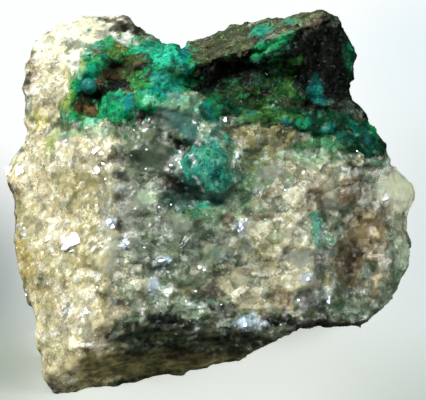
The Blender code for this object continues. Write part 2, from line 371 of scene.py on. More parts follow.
# Each layer is painted over those before it: what it is made of, its pigment, how strongly and how
# softly it goes on, and its spots as (across, down, half width, half height, turn in degrees).
layers = [
    # the broad quartz
    ("quartz", "sand", 0.9, 0.5, [(272, 245, 56, 66, 0), (292, 192, 50, 30, 0), (240, 290, 34, 26, 0),
        (330, 185, 40, 24, 0)]),
    # the left cheek is painted paler, partly its own cream colour and partly because the light falls on it
    # from the left
    ("quartz", "cream", 1.0, 0.3, [(44, 235, 66, 122, 0), (54, 330, 62, 66, -8), (70, 165, 46, 46, 0)]),
    ("quartz", "sand", 0.8, 0.7, [(112, 200, 14, 50, 0), (120, 285, 14, 44, 0), (102, 250, 9, 20, 0)]),
    ("quartz", "grey", 0.7, 0.6, [(126, 206, 11, 30, 0), (114, 262, 7, 30, 0), (104, 210, 6, 16, 10)]),
    ("quartz", "pearl", 0.7, 0.6, [(106, 232, 6, 14, 0), (92, 282, 7, 18, 10), (84, 322, 12, 24, 0),
        (64, 262, 8, 16, 0), (98, 192, 8, 8, 0)]),
    ("quartz", "tan", 0.6, 0.6, [(22, 240, 10, 60, -6), (90, 240, 10, 30, 0), (84, 180, 14, 18, 0),
        (46, 300, 9, 30, 0), (104, 300, 8, 22, 0)]),
    # the top-left lobe is painted paler, partly for the strong light on it
    ("quartz", "paleCream", 1.0, 0.3, [(76, 30, 50, 24, -12), (52, 70, 20, 30, 0)]),
    ("quartz", "cream", 0.9, 0.5, [(38, 96, 26, 40, 0)]),
    ("quartz", "sand", 0.6, 0.6, [(44, 82, 18, 28, 0), (64, 160, 36, 20, 0)]),
    ("quartz", "sage", 0.6, 0.5, [(210, 135, 26, 36, 0), (176, 102, 34, 14, 0), (248, 180, 22, 28, 0),
        (205, 205, 30, 18, 0), (300, 156, 40, 9, 4)]),
    ("quartz", "tan", 0.5, 0.6, [(78, 193, 28, 25, 0), (60, 262, 30, 20, 0), (262, 162, 26, 10, 0),
        (372, 225, 15, 20, 0), (280, 250, 26, 20, 0)]),
    ("quartz", "grey", 0.8, 0.4, [(66, 310, 5, 11, 20), (64, 137, 9, 7, 0), (270, 171, 12, 7, 0),
        (335, 203, 12, 9, 0), (28, 92, 5, 9, 0), (104, 32, 9, 8, 0), (28, 100, 5, 12, 0),
        (300, 258, 13, 10, 0)]),
    ("quartz", "tealGrey", 0.95, 0.25, [(171, 118, 22, 9, 8), (192, 138, 9, 9, 0),
        (182, 128, 14, 6, 30), (184, 196, 30, 12, 0), (208, 172, 32, 34, 0)]),
    ("quartz", "sage", 0.6, 0.6, [(246, 184, 14, 18, 0), (234, 152, 10, 14, 0)]),
    ("quartz", "grey", 0.6, 0.6, [(142, 198, 22, 22, 0), (166, 226, 22, 12, 0), (134, 244, 10, 16, 0)]),
    # bluish spots where the blue glints sit: partly bluish crystal, partly painted bluish reflection
    ("quartz", "blueGrey", 0.6, 0.6, [(152, 285, 8, 12, 10), (109, 222, 6, 6, 0), (127, 243, 4, 5, 0),
        (307, 279, 6, 5, 0), (242, 226, 9, 8, 0), (216, 123, 7, 6, 0), (225, 255, 7, 5, 0)]),
    # frost here is partly pale crystal and partly painted highlight where crystals sparkle, as at (175, 164)
    ("quartz", "frostAndHighlight", 0.8, 0.4, [(160, 260, 9, 4, 0), (248, 325, 13, 9, 0), (175, 164, 10, 8, -40),
        (168, 287, 6, 6, 0), (326, 295, 7, 16, 12), (352, 225, 6, 5, 0), (74, 62, 6, 8, 0),
        (236, 156, 6, 5, 0)]),
    ("quartz", "paleCream", 0.6, 0.5, [(135, 284, 15, 14, 0), (298, 236, 22, 12, 0),
        (288, 194, 16, 10, 0), (60, 362, 15, 26, 0), (292, 284, 10, 8, 0), (262, 232, 16, 10, 20)]),
    ("quartz", "jade", 0.85, 0.4, [(172, 100, 26, 6, 6), (204, 112, 12, 10, 0)]),
    ("quartz", "tealGrey", 0.85, 0.5, [(212, 120, 16, 18, 0), (204, 138, 14, 14, 0)]),
    ("crust", "lagoon", 0.9, 0.8, [(210, 170, 20, 26, -16)]),
    ("crust", "mint", 0.35, 0.8, [(200, 156, 5, 4, 0), (208, 150, 4, 4, 0), (214, 164, 4, 6, 0),
        (206, 178, 4, 4, 0), (218, 184, 4, 6, 0), (222, 160, 4, 3, 0)]),
    ("quartz", "jade", 0.9, 0.5, [(319, 228, 8, 20, 0)]),
    ("quartz", "teal", 0.4, 0.6, [(204, 204, 12, 8, 0), (228, 176, 6, 14, 0)]),
    ("quartz", "mint", 0.7, 0.6, [(319, 221, 6, 14, 0), (325, 237, 5, 6, 0), (331, 240, 4, 4, 0)]),
    ("quartz", "cyan", 0.6, 0.5, [(318, 226, 3.5, 14, 0)]),
    ("crust", "foam", 0.4, 0.6, [(202, 152, 10, 7, 0)]),
    ("quartz", "tealGrey", 0.25, 0.6, [(220, 244, 28, 18, 0)]),
    ("quartz", "foam", 0.95, 0.4, [(322, 145, 22, 10, 4), (345, 150, 14, 6, 0), (300, 148, 10, 5, 0)]),
    ("quartz", "paleGreen", 0.7, 0.5, [(186, 312, 22, 10, 0), (132, 42, 7, 7, 0), (206, 126, 6, 8, 0),
        (295, 153, 16, 6, 0), (214, 226, 12, 6, -20), (150, 196, 16, 8, 10)]),
    ("quartz", "slate", 0.85, 0.35, [(148, 119, 14, 9, 0), (148, 157, 24, 14, -14),
        (159, 268, 10, 7, 10), (174, 261, 6, 4, 0), (152, 249, 4, 9, 0), (225, 310, 12, 10, 0),
        (258, 192, 5, 4, 0), (343, 213, 4, 4, 0), (97, 294, 4, 2, 0), (21, 150, 4, 4, 0),
        (248, 212, 5, 4, 0), (205, 234, 10, 6, 30), (118, 176, 8, 5, 0), (190, 246, 8, 5, -20),
        (240, 262, 8, 5, 20)]),
    # the thin tip on the right is painted near white, partly as painted light coming through it
    ("quartz", "frostAndHighlight", 0.9, 0.8, [(388, 188, 36, 28, 0)]),
    ("quartz", "paleCream", 0.8, 0.8, [(396, 188, 26, 26, 0)]),
    ("quartz", "violetGrey", 0.7, 0.4, [(384, 262, 7, 24, 0), (262, 317, 13, 7, 0),
        (310, 300, 9, 9, 0)]),
    ("quartz", "paleGreen", 0.7, 0.4, [(402, 256, 9, 26, 0)]),
    ("quartz", "paleCream", 0.7, 0.4, [(394, 200, 20, 18, 0)]),
    # the lower left corner faces down into shade; cream here and at (60, 362) above is painted light
    ("quartz", "cream", 1.0, 0.3, [(60, 372, 20, 26, 0)]),
    ("quartz", "paleGreen", 0.4, 0.5, [(398, 186, 24, 22, 0)]),
    ("quartz", "brown", 0.9, 0.45, [(28, 66, 7, 20, 0), (112, 155, 7, 10, 0), (15, 189, 6, 7, 0),
        (15, 217, 3, 18, 0), (228, 220, 7, 8, 0), (362, 246, 25, 22, 20), (350, 272, 12, 24, 0),
        (317, 196, 8, 10, 0), (370, 288, 12, 9, 0), (372, 222, 14, 10, 0), (280, 296, 10, 8, 0),
        (348, 190, 16, 12, 0)]),
    ("quartz", "brown", 0.3, 0.6, [(110, 316, 10, 20, 10), (28, 70, 5, 20, 0), (30, 100, 4, 12, 0)]),
    ("quartz", "tan", 0.5, 0.8, [(27, 68, 7, 22, 0), (64, 350, 22, 18, 0)]),
    ("quartz", "brown", 0.5, 0.6, [(32, 68, 5, 24, 0)]),
    ("quartz", "amber", 0.8, 0.6, [(364, 238, 20, 14, 20), (378, 226, 9, 11, 0)]),
    ("quartz", "pearl", 0.8, 0.5, [(384, 264, 7, 24, 0), (372, 280, 8, 9, 0)]),
    ("quartz", "pearl", 0.9, 0.7, [(399, 226, 8, 16, 0), (386, 206, 12, 7, 0)]),
    ("quartz", "peach", 0.9, 0.4, [(352, 224, 5, 5, 0), (366, 212, 10, 5, 0), (374, 232, 6, 4, 30),
        (376, 278, 7, 8, 0)]),
    ("quartz", "greyGreen", 0.8, 0.5, [(354, 296, 20, 9, 0), (386, 284, 8, 10, 30)]),
    ("quartz", "umber", 0.85, 0.45, [(28, 79, 4, 6, 0), (42, 131, 3, 4, 0), (48, 131, 2, 3, 0),
        (121, 227, 4, 6, 0), (350, 266, 5, 16, 0), (101, 163, 3, 3, 0), (212, 288, 11, 9, 0),
        (360, 254, 7, 5, 0), (118, 303, 4, 3, 0)]),
    ("quartz", "umber", 0.9, 0.5, [(127, 28, 15, 8, 30), (101, 16, 6, 3, 20), (110, 19, 5, 3, 0),
        (137, 29, 9, 6, 40), (117, 27, 7, 4, 0)]),
    ("ore", "black", 0.9, 0.5, [(125, 30, 6, 4, 30), (136, 30, 5, 3, 40)]),
    ("quartz", "straw", 1.0, 0.4, [(43, 121, 9, 10, 0)]),
    ("quartz", "ochre", 0.6, 0.6, [(25, 262, 8, 24, 0), (186, 291, 5, 4, 0), (262, 60, 5, 5, 0)]),
    ("quartz", "ochre", 0.35, 0.8, [(328, 279, 4, 8, 0)]),
    ("quartz", "orange", 0.5, 0.6, [(287, 304, 7, 3, 0), (41, 131, 2, 2, 0)]),
    ("quartz", "deepGreen", 0.7, 0.5, [(350, 314, 22, 10, 0), (206, 300, 14, 6, 0)]),
    ("quartz", "emerald", 0.6, 0.5, [(352, 314, 14, 6, 0), (212, 303, 6, 3, 0)]),
    ("quartz", "leaf", 0.6, 0.5, [(342, 306, 12, 6, 0)]),
    ("quartz", "leaf", 0.3, 0.8, [(400, 276, 5, 12, 0)]),
    # the under-face faces down into shade; its khaki and bark are painted lighter, partly as painted light
    ("quartz", "khaki", 0.95, 0.2, [(92, 374, 14, 22, 0), (170, 366, 96, 18, -3)]),
    ("quartz", "bark", 0.9, 0.5, [(108, 374, 36, 10, -6), (92, 382, 20, 12, 0)]),
    ("quartz", "bark", 0.5, 0.5, [(190, 364, 44, 6, -6)]),
    ("quartz", "olive", 0.8, 0.4, [(268, 315, 28, 8, 0), (130, 372, 40, 6, -4)]),
    ("quartz", "darkMoss", 1.0, 0.25, [(184, 333, 62, 11, -2), (262, 324, 26, 6, -10),
        (158, 331, 30, 9, 0)]),
    ("quartz", "umber", 0.7, 0.5, [(126, 341, 10, 4, 0), (160, 352, 56, 3, 0), (200, 356, 40, 3, -3)]),
    # a thin pale line along the foot's ledge, partly a painted highlight on its lip
    ("quartz", "peach", 1.0, 0.3, [(96, 346, 22, 3.4, 1)]),
    ("quartz", "frostAndHighlight", 0.9, 0.3, [(92, 345.5, 15, 2, 2)]),
    ("quartz", "sage", 0.6, 0.5, [(90, 132, 24, 6, 0)]),
    ("quartz", "lime", 0.5, 0.6, [(72, 80, 5, 22, 0), (78, 62, 6, 8, 0)]),
    ("quartz", "lime", 0.85, 0.5, [(50, 146, 6, 12, 0), (53, 132, 4, 14, 0), (64, 108, 5, 12, 0)]),
    ("quartz", "moss", 0.7, 0.5, [(66, 125, 13, 5, 0), (186, 292, 7, 6, 0)]),
    # black in the cracks and crevices, such as under the mound, is partly painted shade
    ("quartz", "black", 0.9, 0.4, [(180, 144, 10, 4, 32), (184, 189, 15, 6, 8), (213, 206, 3, 9, 0),
        (162, 321, 19, 7, 25), (300, 323, 52, 4, 0), (172, 178, 10, 5, 20), (120, 177, 3, 3, 0),
        (146, 116, 8, 5, 0), (218, 306, 8, 4, 0)]),
    ("quartz", "deepTeal", 0.85, 0.6, [(204, 196, 15, 6, 22), (192, 184, 8, 5, 10)]),
    # the bluish-white lump, partly painted bluish reflection, with a bluish-grey rim
    ("quartz", "blueGrey", 1.0, 0.4, [(248, 326, 13, 9, 0)]),
    ("quartz", "iceAndSheen", 0.9, 0.5, [(249, 325, 11, 8, 0)]),
    # the blue glint spots again, partly painted bluish reflection
    ("quartz", "iceAndSheen", 0.6, 0.6, [(109, 222, 6, 6, 0), (127, 243, 5, 7, 0), (160, 260, 8, 4, 0),
        (242, 226, 7, 6, 0), (307, 279, 7, 4, 0), (154, 282, 7, 7, 0)]),
    ("quartz", "greyGreen", 0.6, 0.5, [(350, 312, 20, 9, 0)]),
    ("quartz", "tan", 1.0, 0.35, [(270, 137, 34, 14, 0)]),
    ("quartz", "khaki", 0.6, 0.5, [(266, 136, 30, 11, 0)]),
    ("quartz", "olive", 0.7, 0.5, [(236, 136, 8, 15, 0), (283, 128, 12, 6, 0)]),
    # the ore cap: a brown top the light falls on, black under its lip, partly painted shadow in the hollow,
    # and a black facet on the right
    ("ore", "oreBlack", 1.0, 0.1, [(222, 72, 38, 30, 0), (268, 66, 54, 46, -8), (316, 60, 42, 54, 0),
        (236, 92, 40, 22, 0), (300, 104, 50, 24, 0), (340, 110, 26, 20, 20), (346, 60, 18, 46, 0),
        (358, 118, 26, 16, 42)]),
    ("ore", "oreBrown", 1.0, 0.12, [(212, 50, 28, 13, -12), (234, 40, 24, 17, -24),
        (292, 22, 46, 11, -12)]),
    # a lighter line along the lip, partly the ore's own colour and partly a painted highlight on its edge
    ("ore", "orePinkAndHighlight", 0.8, 0.45, [(228, 59, 15, 3, -22), (280, 34, 14, 4, -18), (312, 23, 13, 5, -14),
        (198, 41, 12, 2, -10)]),
    ("ore", "darkMoss", 0.9, 0.4, [(240, 98, 34, 9, 0), (278, 78, 20, 20, 0), (200, 78, 8, 11, 0),
        (290, 98, 16, 10, 0)]),
    ("ore", "deepGreen", 0.8, 0.5, [(268, 66, 20, 10, -20), (222, 98, 16, 8, 0), (284, 90, 16, 14, 0)]),
    ("ore", "oreGrey", 0.9, 0.3, [(351, 113, 14, 12, 42), (336, 24, 7, 7, 0)]),
    # black under the lip, at (230, 75), (256, 64), (258, 86) and (196, 84), is partly painted shadow; the
    # rest is the black ore's own colour
    ("ore", "black", 1.0, 0.25, [(230, 75, 30, 12, -12), (318, 50, 26, 20, 0), (332, 114, 14, 12, 0),
        (258, 86, 12, 12, 0), (256, 64, 16, 8, -24), (336, 80, 10, 26, 0), (196, 84, 8, 8, 0)]),
    # the crust: one sheet from the left pocket over the saddle, and patches round the ore
    ("crust", "emerald", 1.0, 0.3, [(104, 61, 24, 18, 0), (91, 87, 20, 20, 0), (122, 78, 34, 34, 0),
        (142, 58, 22, 17, 0), (86, 116, 14, 8, 0), (165, 68, 29, 31, 0), (122, 106, 20, 17, 0),
        (140, 96, 24, 14, 0)]),
    ("crust", "leaf", 0.9, 0.3, [(136, 84, 10, 16, 0), (108, 48, 12, 7, 0), (72, 98, 5, 14, 10),
        (66, 114, 5, 12, 0), (176, 76, 9, 5, 0), (86, 118, 12, 6, 0)]),
    ("crust", "teal", 1.0, 0.3, [(158, 50, 20, 12, 0), (176, 58, 14, 16, 0), (112, 103, 12, 12, 0),
        (150, 93, 18, 6, 0)]),
    ("crust", "mint", 0.7, 0.6, [(92, 51, 11, 8, 0), (80, 72, 4, 8, 0), (150, 102, 9, 5, 0),
        (88, 121, 8, 4, 0), (203, 108, 6, 6, 0)]),
    ("crust", "aqua", 0.7, 0.6, [(172, 52, 8, 6, 0), (165, 62, 7, 6, 0)]),
    ("crust", "blueTeal", 0.9, 0.45, [(89, 84, 9, 9, 0), (127, 105, 7, 8, 0), (184, 53, 5, 10, 0),
        (113, 100, 5, 5, 0)]),
    ("crust", "blueTeal", 0.5, 0.6, [(156, 78, 9, 9, 0), (168, 86, 14, 9, 0)]),
    ("crust", "aqua", 0.5, 0.6, [(162, 60, 5, 4, 0), (150, 52, 5, 5, 0), (168, 84, 4, 3, 0),
        (178, 62, 3, 5, 0)]),
    ("crust", "deepGreen", 0.9, 0.4, [(170, 71, 15, 3, 0), (116, 121, 9, 7, 0), (104, 56, 5, 5, 0),
        (186, 72, 4, 12, 0), (150, 66, 4, 8, 0)]),
    ("ore", "oreBlack", 0.95, 0.35, [(115, 63, 9, 7, 0), (119, 80, 17, 9, -12), (104, 88, 8, 12, 0),
        (92, 97, 14, 6, 0), (139, 64, 8, 5, 0)]),
    ("ore", "umber", 0.95, 0.3, [(120, 70, 22, 16, 0), (102, 80, 7, 12, 0), (134, 62, 9, 8, 0),
        (84, 107, 14, 10, 0)]),
    ("ore", "black", 0.95, 0.35, [(114, 63, 8, 6, 0), (121, 83, 13, 6, -12), (106, 86, 6, 8, 0),
        (92, 96, 13, 4, 0), (140, 70, 5, 6, 0), (98, 102, 5, 5, 0)]),
    ("ore", "moss", 0.8, 0.5, [(131, 58, 8, 4, 0), (124, 72, 7, 4, 0), (130, 78, 5, 4, 0),
        (112, 54, 8, 4, 0)]),
    ("ore", "rust", 0.6, 0.5, [(80, 107, 8, 6, 0), (93, 110, 6, 4, 0), (120, 46, 6, 3, 0),
        (106, 76, 4, 3, 0), (128, 90, 4, 3, 0)]),
    ("crust", "leaf", 0.85, 0.45, [(138, 82, 7, 8, 0), (70, 100, 3, 13, 10), (110, 48, 7, 4, 0)]),
    ("crust", "lime", 0.7, 0.6, [(71, 90, 3, 11, 10), (66, 108, 3, 10, 8), (82, 66, 4, 9, 0),
        (96, 54, 6, 4, 0)]),
    ("crust", "emerald", 0.9, 0.4, [(95, 64, 9, 9, 0), (112, 104, 11, 10, 0), (116, 118, 9, 5, 0)]),
    ("crust", "deepGreen", 1.0, 0.12, [(322, 122, 32, 14, 4), (292, 116, 22, 9, 0),
        (366, 144, 22, 13, 8), (268, 50, 21, 5, -22), (232, 110, 14, 5, 0), (210, 112, 12, 9, 0),
        (372, 138, 18, 14, 40)]),
    ("crust", "grass", 0.9, 0.35, [(268, 114, 27, 8, 0), (286, 92, 8, 5, 0), (243, 120, 10, 6, 0)]),
    ("ore", "grass", 0.7, 0.7, [(292, 62, 8, 6, 0), (279, 65, 6, 4, 0), (288, 80, 6, 6, 0)]),
    ("crust", "foam", 0.9, 0.5, [(322, 143, 18, 6, 4)]),
    ("crust", "deepGreen", 0.8, 0.3, [(270, 52, 22, 7, -23)]),
    ("crust", "emerald", 0.72, 0.3, [(269, 47, 24, 5.5, -23)]),
    ("crust", "deepGreen", 0.9, 0.7, [(351, 54, 5, 22, 0)]),
    ("crust", "emerald", 0.7, 0.8, [(351, 48, 3, 10, 10), (349, 62, 2, 8, -10)]),
    ("crust", "emerald", 0.9, 0.25, [(376, 132, 8, 4, 40), (302, 122, 9, 4, 0)]),
    ("crust", "deepTeal", 0.7, 0.6, [(345, 138, 13, 6, 0)]),
    ("crust", "teal", 0.9, 0.3, [(357, 129, 12, 4, 50), (206, 206, 5, 4, 0)]),
    ("crust", "teal", 0.75, 0.7, [(264, 31, 13, 7, -16), (259, 36, 7, 4, -16)]),
    ("crust", "blueTeal", 0.5, 0.7, [(266, 33, 7, 4, -16)]),
    ("crust", "foam", 0.8, 0.7, [(291, 21, 10, 4, -12)]),
    ("crust", "emerald", 0.6, 0.7, [(214, 104, 8, 8, 0)]),
    ("crust", "mint", 0.7, 0.5, [(376, 162, 7, 4, 0)]),
    ("ore", "deepTeal", 0.9, 0.7, [(315, 88, 8, 10, 0), (320, 101, 12, 4, 0)]),
    ("ore", "blueTeal", 0.35, 0.9, [(317, 90, 5, 6, 0), (320, 101, 8, 3, 0)]),
    ("crust", "deepTeal", 0.9, 0.4, [(366, 136, 10, 6, 40)]),
    ("quartz", "steel", 0.6, 0.4, [(321, 260, 4, 16, 0), (330, 250, 8, 5, 0)]),
    ("quartz", "slate", 0.75, 0.8, [(76, 46, 15, 5, 6), (64, 125, 12, 5, 0)]),
    ("quartz", "frostAndHighlight", 0.8, 0.7, [(75, 62, 6, 9, 0), (127, 40, 6, 6, 0)]),
]

# Patchy growth inside each kind: its pigment, the size of its patches in millimetres, how rare they are
# and how strongly they show.
mottles = [
    ("quartz", "frostAndHighlight", 1.3, 0.30, 0.35),
    ("quartz", "slate", 1.5, 0.26, 0.4),
    ("quartz", "brown", 0.9, 0.34, 0.35),
    ("crust", "deepGreen", 1.3, 0.22, 0.6),
    ("crust", "mint", 0.9, 0.34, 0.22),
    ("crust", "blueTeal", 1.8, 0.26, 0.4),
    ("crust", "black", 0.8, 0.36, 0.7),
    ("ore", "darkMoss", 1.4, 0.14, 0.6),
    ("ore", "deepGreen", 1.0, 0.26, 0.7),
    ("ore", "umber", 0.9, 0.28, 0.6),
]

# Long thin streaks: kind, pigment, where they lie, their length and thickness in millimetres and strength.
streaks = [
    ("quartz", "black", (190, 334, 66, 12, -3), (2.6, 0.3), 0.8),
    ("quartz", "moss", (180, 334, 60, 10, -3), (2.2, 0.3), 0.6),
    ("quartz", "umber", (160, 360, 96, 18, -6), (3.4, 0.28), 0.5),
    ("quartz", "bark", (150, 364, 90, 16, -6), (2.6, 0.3), 0.35),
    ("ore", "umber", (236, 44, 40, 16, -20), (2.2, 0.3), 0.6),
    ("ore", "orePinkAndHighlight", (290, 26, 50, 14, -20), (2.4, 0.3), 0.45),
    ("ore", "deepGreen", (250, 92, 42, 20, 0), (1.6, 0.7), 0.8),
    ("ore", "grass", (262, 92, 34, 16, 0), (1.0, 0.5), 0.4),
]

# The parts of the stone that the front doesn't show: ellipsoids in the face's own frame.
bodies = [
    ("ore", "oreBrown", (7.0, 14.0, 47.0), (11.0, 19.0, 6.5)),
    ("ore", "oreBlack", (12.5, 12.0, 42.0), (6.5, 15.0, 9.0)),
    ("crust", "teal", (-6.0, 9.0, 43.0), (7.0, 11.0, 5.0)),
    ("crust", "deepGreen", (15.0, 24.0, 36.0), (6.0, 6.0, 5.0)),
    ("crust", "leaf", (0.0, 30.0, 38.0), (8.0, 5.0, 4.0)),
    ("crust", "teal", (-10.0, 30.0, 22.0), (4.0, 4.0, 3.0)),
]

# The bare quartz there: its warmth across the stone, and its stains with the size of their patches in
# millimetres and how rare they are.
rest = {
    "warmth": (-0.4, 0.4),
    "warmAcross": -40,
    "stains": [("tan", 5.0, 0.15), ("greyGreen", 6.0, 0.2), ("brown", 3.2, 0.34), ("olive", 4.0, 0.36)],
    "stainStrength": 0.8,
    "stainEdge": (-0.1, 0.15),
    "stainRagged": 0.1,
    "bodyEdge": 0.3,
    "bodyRagged": 0.3,
    # a green bloom creeps round the ore's edge
    "bloomReach": 1.12,
    "bloomWidth": 0.16,
    "bloomEdge": 0.4,
    "bloomStrength": 0.9,
}

skin = {
    "voxel": 0.3,
    "easing": 2,
    "coarse": (4.0, 1),  # lump size in millimetres and seed
    "patches": (0.9, 2),
    "warps": [(3.2, 3.2, 3), (2.4, 0.9, 4)],  # how far marks wander in steps, lump size and seed
    "ragged": 0.6,  # how uneven each mark's outline is
    "raggedSize": 1.8,
    "raggedSeeds": range(30, 36),
    "frontEdge": (-0.26, 0.0),  # how squarely a point faces the eye where the front's paint ends
    "frontRagged": 0.08,
    "calmEdge": 0.4,
    "smoothPatches": [
        (171, 119, 24, 11, 8), (184, 130, 14, 8, 30), (150, 158, 23, 14, -12), (64, 137, 8, 7, 0),
        (335, 203, 12, 9, 0), (270, 171, 10, 6, 0), (400, 190, 20, 22, 0), (298, 258, 12, 9, 0),
        (150, 364, 90, 14, 0), (321, 64, 22, 42, 8), (128, 172, 7, 10, 0), (112, 250, 8, 26, 0),
        (92, 186, 8, 8, 0), (180, 224, 10, 10, 0), (100, 264, 9, 10, 0), (68, 134, 14, 7, 0),
        (360, 234, 10, 10, 0), (240, 279, 9, 8, 0), (214, 252, 10, 8, 0), (322, 184, 10, 8, 0),
        (142, 200, 9, 9, 0), (152, 285, 8, 8, 0), (269, 45, 24, 6, -23), (262, 31, 12, 6, -10),
    ],
    # where a painted glow stands in for light coming through thin quartz and lifts faces in shade at the
    # foot, and how much
    "paintedGlowPatches": [
        (400, 188, 28, 34, 0, 0.8), (399, 228, 9, 18, 0, 0.6), (404, 256, 12, 34, 0, 0.5),
        (30, 60, 16, 46, 0, 0.15), (70, 18, 50, 14, 0, 0.3), (66, 368, 20, 26, 0, 0.7),
        (390, 290, 16, 22, 40, 0.4), (384, 262, 10, 24, 0, 0.3), (110, 372, 50, 14, -6, 0.3),
    ],
    "paintedGlowEdge": (0.3, 1.1),
    "chalkyPatches": [(56, 230, 62, 120, 0, 1), (60, 330, 56, 66, 0, 1), (70, 60, 60, 60, 0, 1)],
    "chalkyEdge": (0.7, 1.2),
    "streakEdge": (0.7, 1.1),
    "streakLevel": (0.05, 0.22),
    "mottleEdge": 0.12,
    "mottleRagged": 0.08,
    "footClear": (0.2, 0.5),  # heights over which grains begin, so that the foot stays flat
    # the black paint in hollows is partly painted shadow, the rest black ore
    "hollowDark": (0.002, 0.012),  # shades over which black hollows end
    "bandDark": (0.012, 0.05),  # shades over which the dark band, with few crystals, ends
    "crustRough": 0.7,  # how much of the crust stays rough where the stone is smooth
    "blockLevel": (0.2, 0.8),  # glassy shares over which blocks begin
    "crystalShare": 0.58,  # crystals left where the quartz is chalky
    "calmShare": 0.9,  # grains left out where the stone is smooth
}

# Shapes cut into the front, placed in steps; heights and depths in millimetres.
relief = {
    "facing": (0.1, 0.45),  # how squarely a point faces the eye where the shapes begin
    "warps": [(1.6, 2.4, 61), (0.8, 0.8, 62)],
    "wobble": (2.2, 77),
    "faceEdge": (0.6, 1.15),
    "ledgeTurn": (-1.2, 1.2),
    "ledgeUneven": 0.6,
    "crackUneven": 0.8,
    # a line with the stone proud above or left of it and sunk below or right of it
    "ledges": [
        ([(184, 76), (204, 65), (226, 58), (250, 51)], 0.35, 5, 1.5, 13),
        ([(250, 51), (270, 43), (290, 35), (312, 27), (336, 19)], 0.35, 5, 1.0, 12),
        ([(124, 225), (114, 205), (126, 180), (116, 150)], 0.1, 9, 0.25, 18),
        ([(72, 350), (100, 347), (140, 346), (200, 346), (246, 341), (268, 328)], 0.4, 4, 0.2, 5),
        ([(300, 30), (297, 60), (300, 100)], 0.0, 5, 0.4, 10),
        ([(140, 108), (152, 107), (176, 110), (194, 118)], 0.25, 7, 0.5, 8),
        ([(240, 124), (262, 120), (290, 124), (312, 132)], 0.3, 5, 0.3, 9),
    ],
    "cracks": [
        ([(326, 194), (318, 214), (314, 240), (319, 268), (316, 290), (322, 312)], 2.6, 0.25),
        ([(158, 148), (172, 139), (186, 146), (196, 158)], 2.6, 0.5),
        ([(172, 186), (190, 196), (212, 204)], 4.0, 0.55),
        ([(240, 158), (242, 172), (236, 190)], 3.0, 0.2),
        ([(122, 228), (126, 250), (119, 272)], 3.0, 0.3),
        ([(132, 314), (150, 322), (186, 326), (236, 322)], 4.0, 0.5),
        ([(88, 78), (98, 96), (112, 92), (128, 90)], 5.0, 0.6),
    ],
    "mounds": [
        (210, 172, 25, 27, 0, 0.5), (166, 66, 26, 28, 0, 0.6), (112, 106, 15, 14, 0, 0.3),
        (248, 325, 13, 10, 0, 0.6), (186, 311, 20, 13, 0, 0.3), (110, 168, 10, 9, 0, 0.5),
        (104, 194, 9, 10, 0, -0.5), (113, 216, 9, 10, 0, 0.4), (105, 240, 8, 11, 0, -0.3),
        (120, 70, 20, 16, 0, -0.7), (84, 107, 14, 10, 0, -0.4), (388, 262, 12, 30, 0, 0.3),
        (326, 295, 8, 16, 12, 0.4),
    ],
    # flat faces, with how much each falls back to the right and downwards
    "faces": [
        (171, 119, 22, 10, 8, 0.15, 0.30), (192, 138, 10, 9, 0, 0.35, -0.1),
        (150, 158, 23, 14, -12, -0.1, 0.35),
        (64, 137, 8, 7, 0, 0.0, 0.2), (335, 203, 12, 9, 0, 0.2, 0.1), (270, 171, 10, 6, 0, 0.0, 0.3),
        (300, 258, 12, 9, 0, 0.3, 0.1), (321, 64, 18, 36, 8, 0.15, 0.1),
        (159, 268, 9, 7, 10, 0.2, 0.3), (71, 240, 9, 9, 0, -0.15, -0.2),
        (98, 152, 8, 6, 0, -0.2, -0.15), (135, 284, 12, 11, 0, -0.1, -0.1), (245, 236, 9, 8, 0, 0.15, -0.15),
        (280, 232, 11, 10, 0, -0.2, -0.1), (170, 222, 12, 9, 20, -0.15, 0.15),
        (144, 200, 11, 10, 0, 0.2, -0.1), (228, 280, 11, 11, 0, -0.15, 0.15),
        (196, 248, 11, 9, -20, 0.2, 0.1), (290, 200, 12, 10, 0, -0.2, 0.1),
        (74, 322, 12, 12, 0, 0.1, -0.15), (364, 214, 12, 9, 0, -0.2, -0.1), (352, 296, 11, 10, 0, 0.2, 0.1),
    ],
}


def meshArray(mesh, name, width):
    values = np.zeros(len(mesh.vertices) * width)
    mesh.vertices.foreach_get(name, values)
    return values.reshape(-1, width)


def placePoints(mesh, points):
    # moves the mesh's points, and nothing reaches below the flat foot
    points[:, 2] = np.maximum(points[:, 2], 0)
    mesh.vertices.foreach_set("co", points.ravel())
    mesh.update()


def liftToFloor(mesh):
    placePoints(mesh, meshArray(mesh, "co", 3))


def weldedCopy(node, name):
    mesh = node.data.copy()
    mesh.materials.clear()
    work = bmesh.new()
    work.from_mesh(mesh)
    bmesh.ops.remove_doubles(work, verts=work.verts, dist=0.001 * mm)
    work.to_mesh(mesh)
    work.free()
    return addThing(name, mesh)


def settle(thing):
    # the evaluated shape becomes the object's own plain mesh
    graph = bpy.context.evaluated_depsgraph_get()
    done = bpy.data.meshes.new_from_object(
        thing.evaluated_get(graph), preserve_all_data_layers=True, depsgraph=graph
    )
    thing.modifiers.clear()
    thing.data = done
    return thing


def regrid(thing, easing=0):
    # one closed skin on an even grid, eased a little
    remesh = thing.modifiers.new("remesh", "REMESH")
    remesh.mode = "VOXEL"
    remesh.voxel_size = skin["voxel"] * mm
    remesh.use_smooth_shade = True
    if easing:
        smooth = thing.modifiers.new("easing", "SMOOTH")
        smooth.iterations = easing
    return settle(thing)


def facingEye(mesh):
    # how squarely each point faces the eye, from -1 to 1
    normals = meshArray(mesh, "normal", 3)
    return -(normals[:, 1] * cosLean - normals[:, 2] * sinLean)


def wanderingSteps(points, warps):
    # the points in steps, moved about a little so that marks lose their regular outlines
    steps = toSteps(points)
    for amount, size, seed in warps:
        for way in (0, 1):
            steps[:, way] += amount * field(points, size, seed + 10 * way, 2)
    return steps


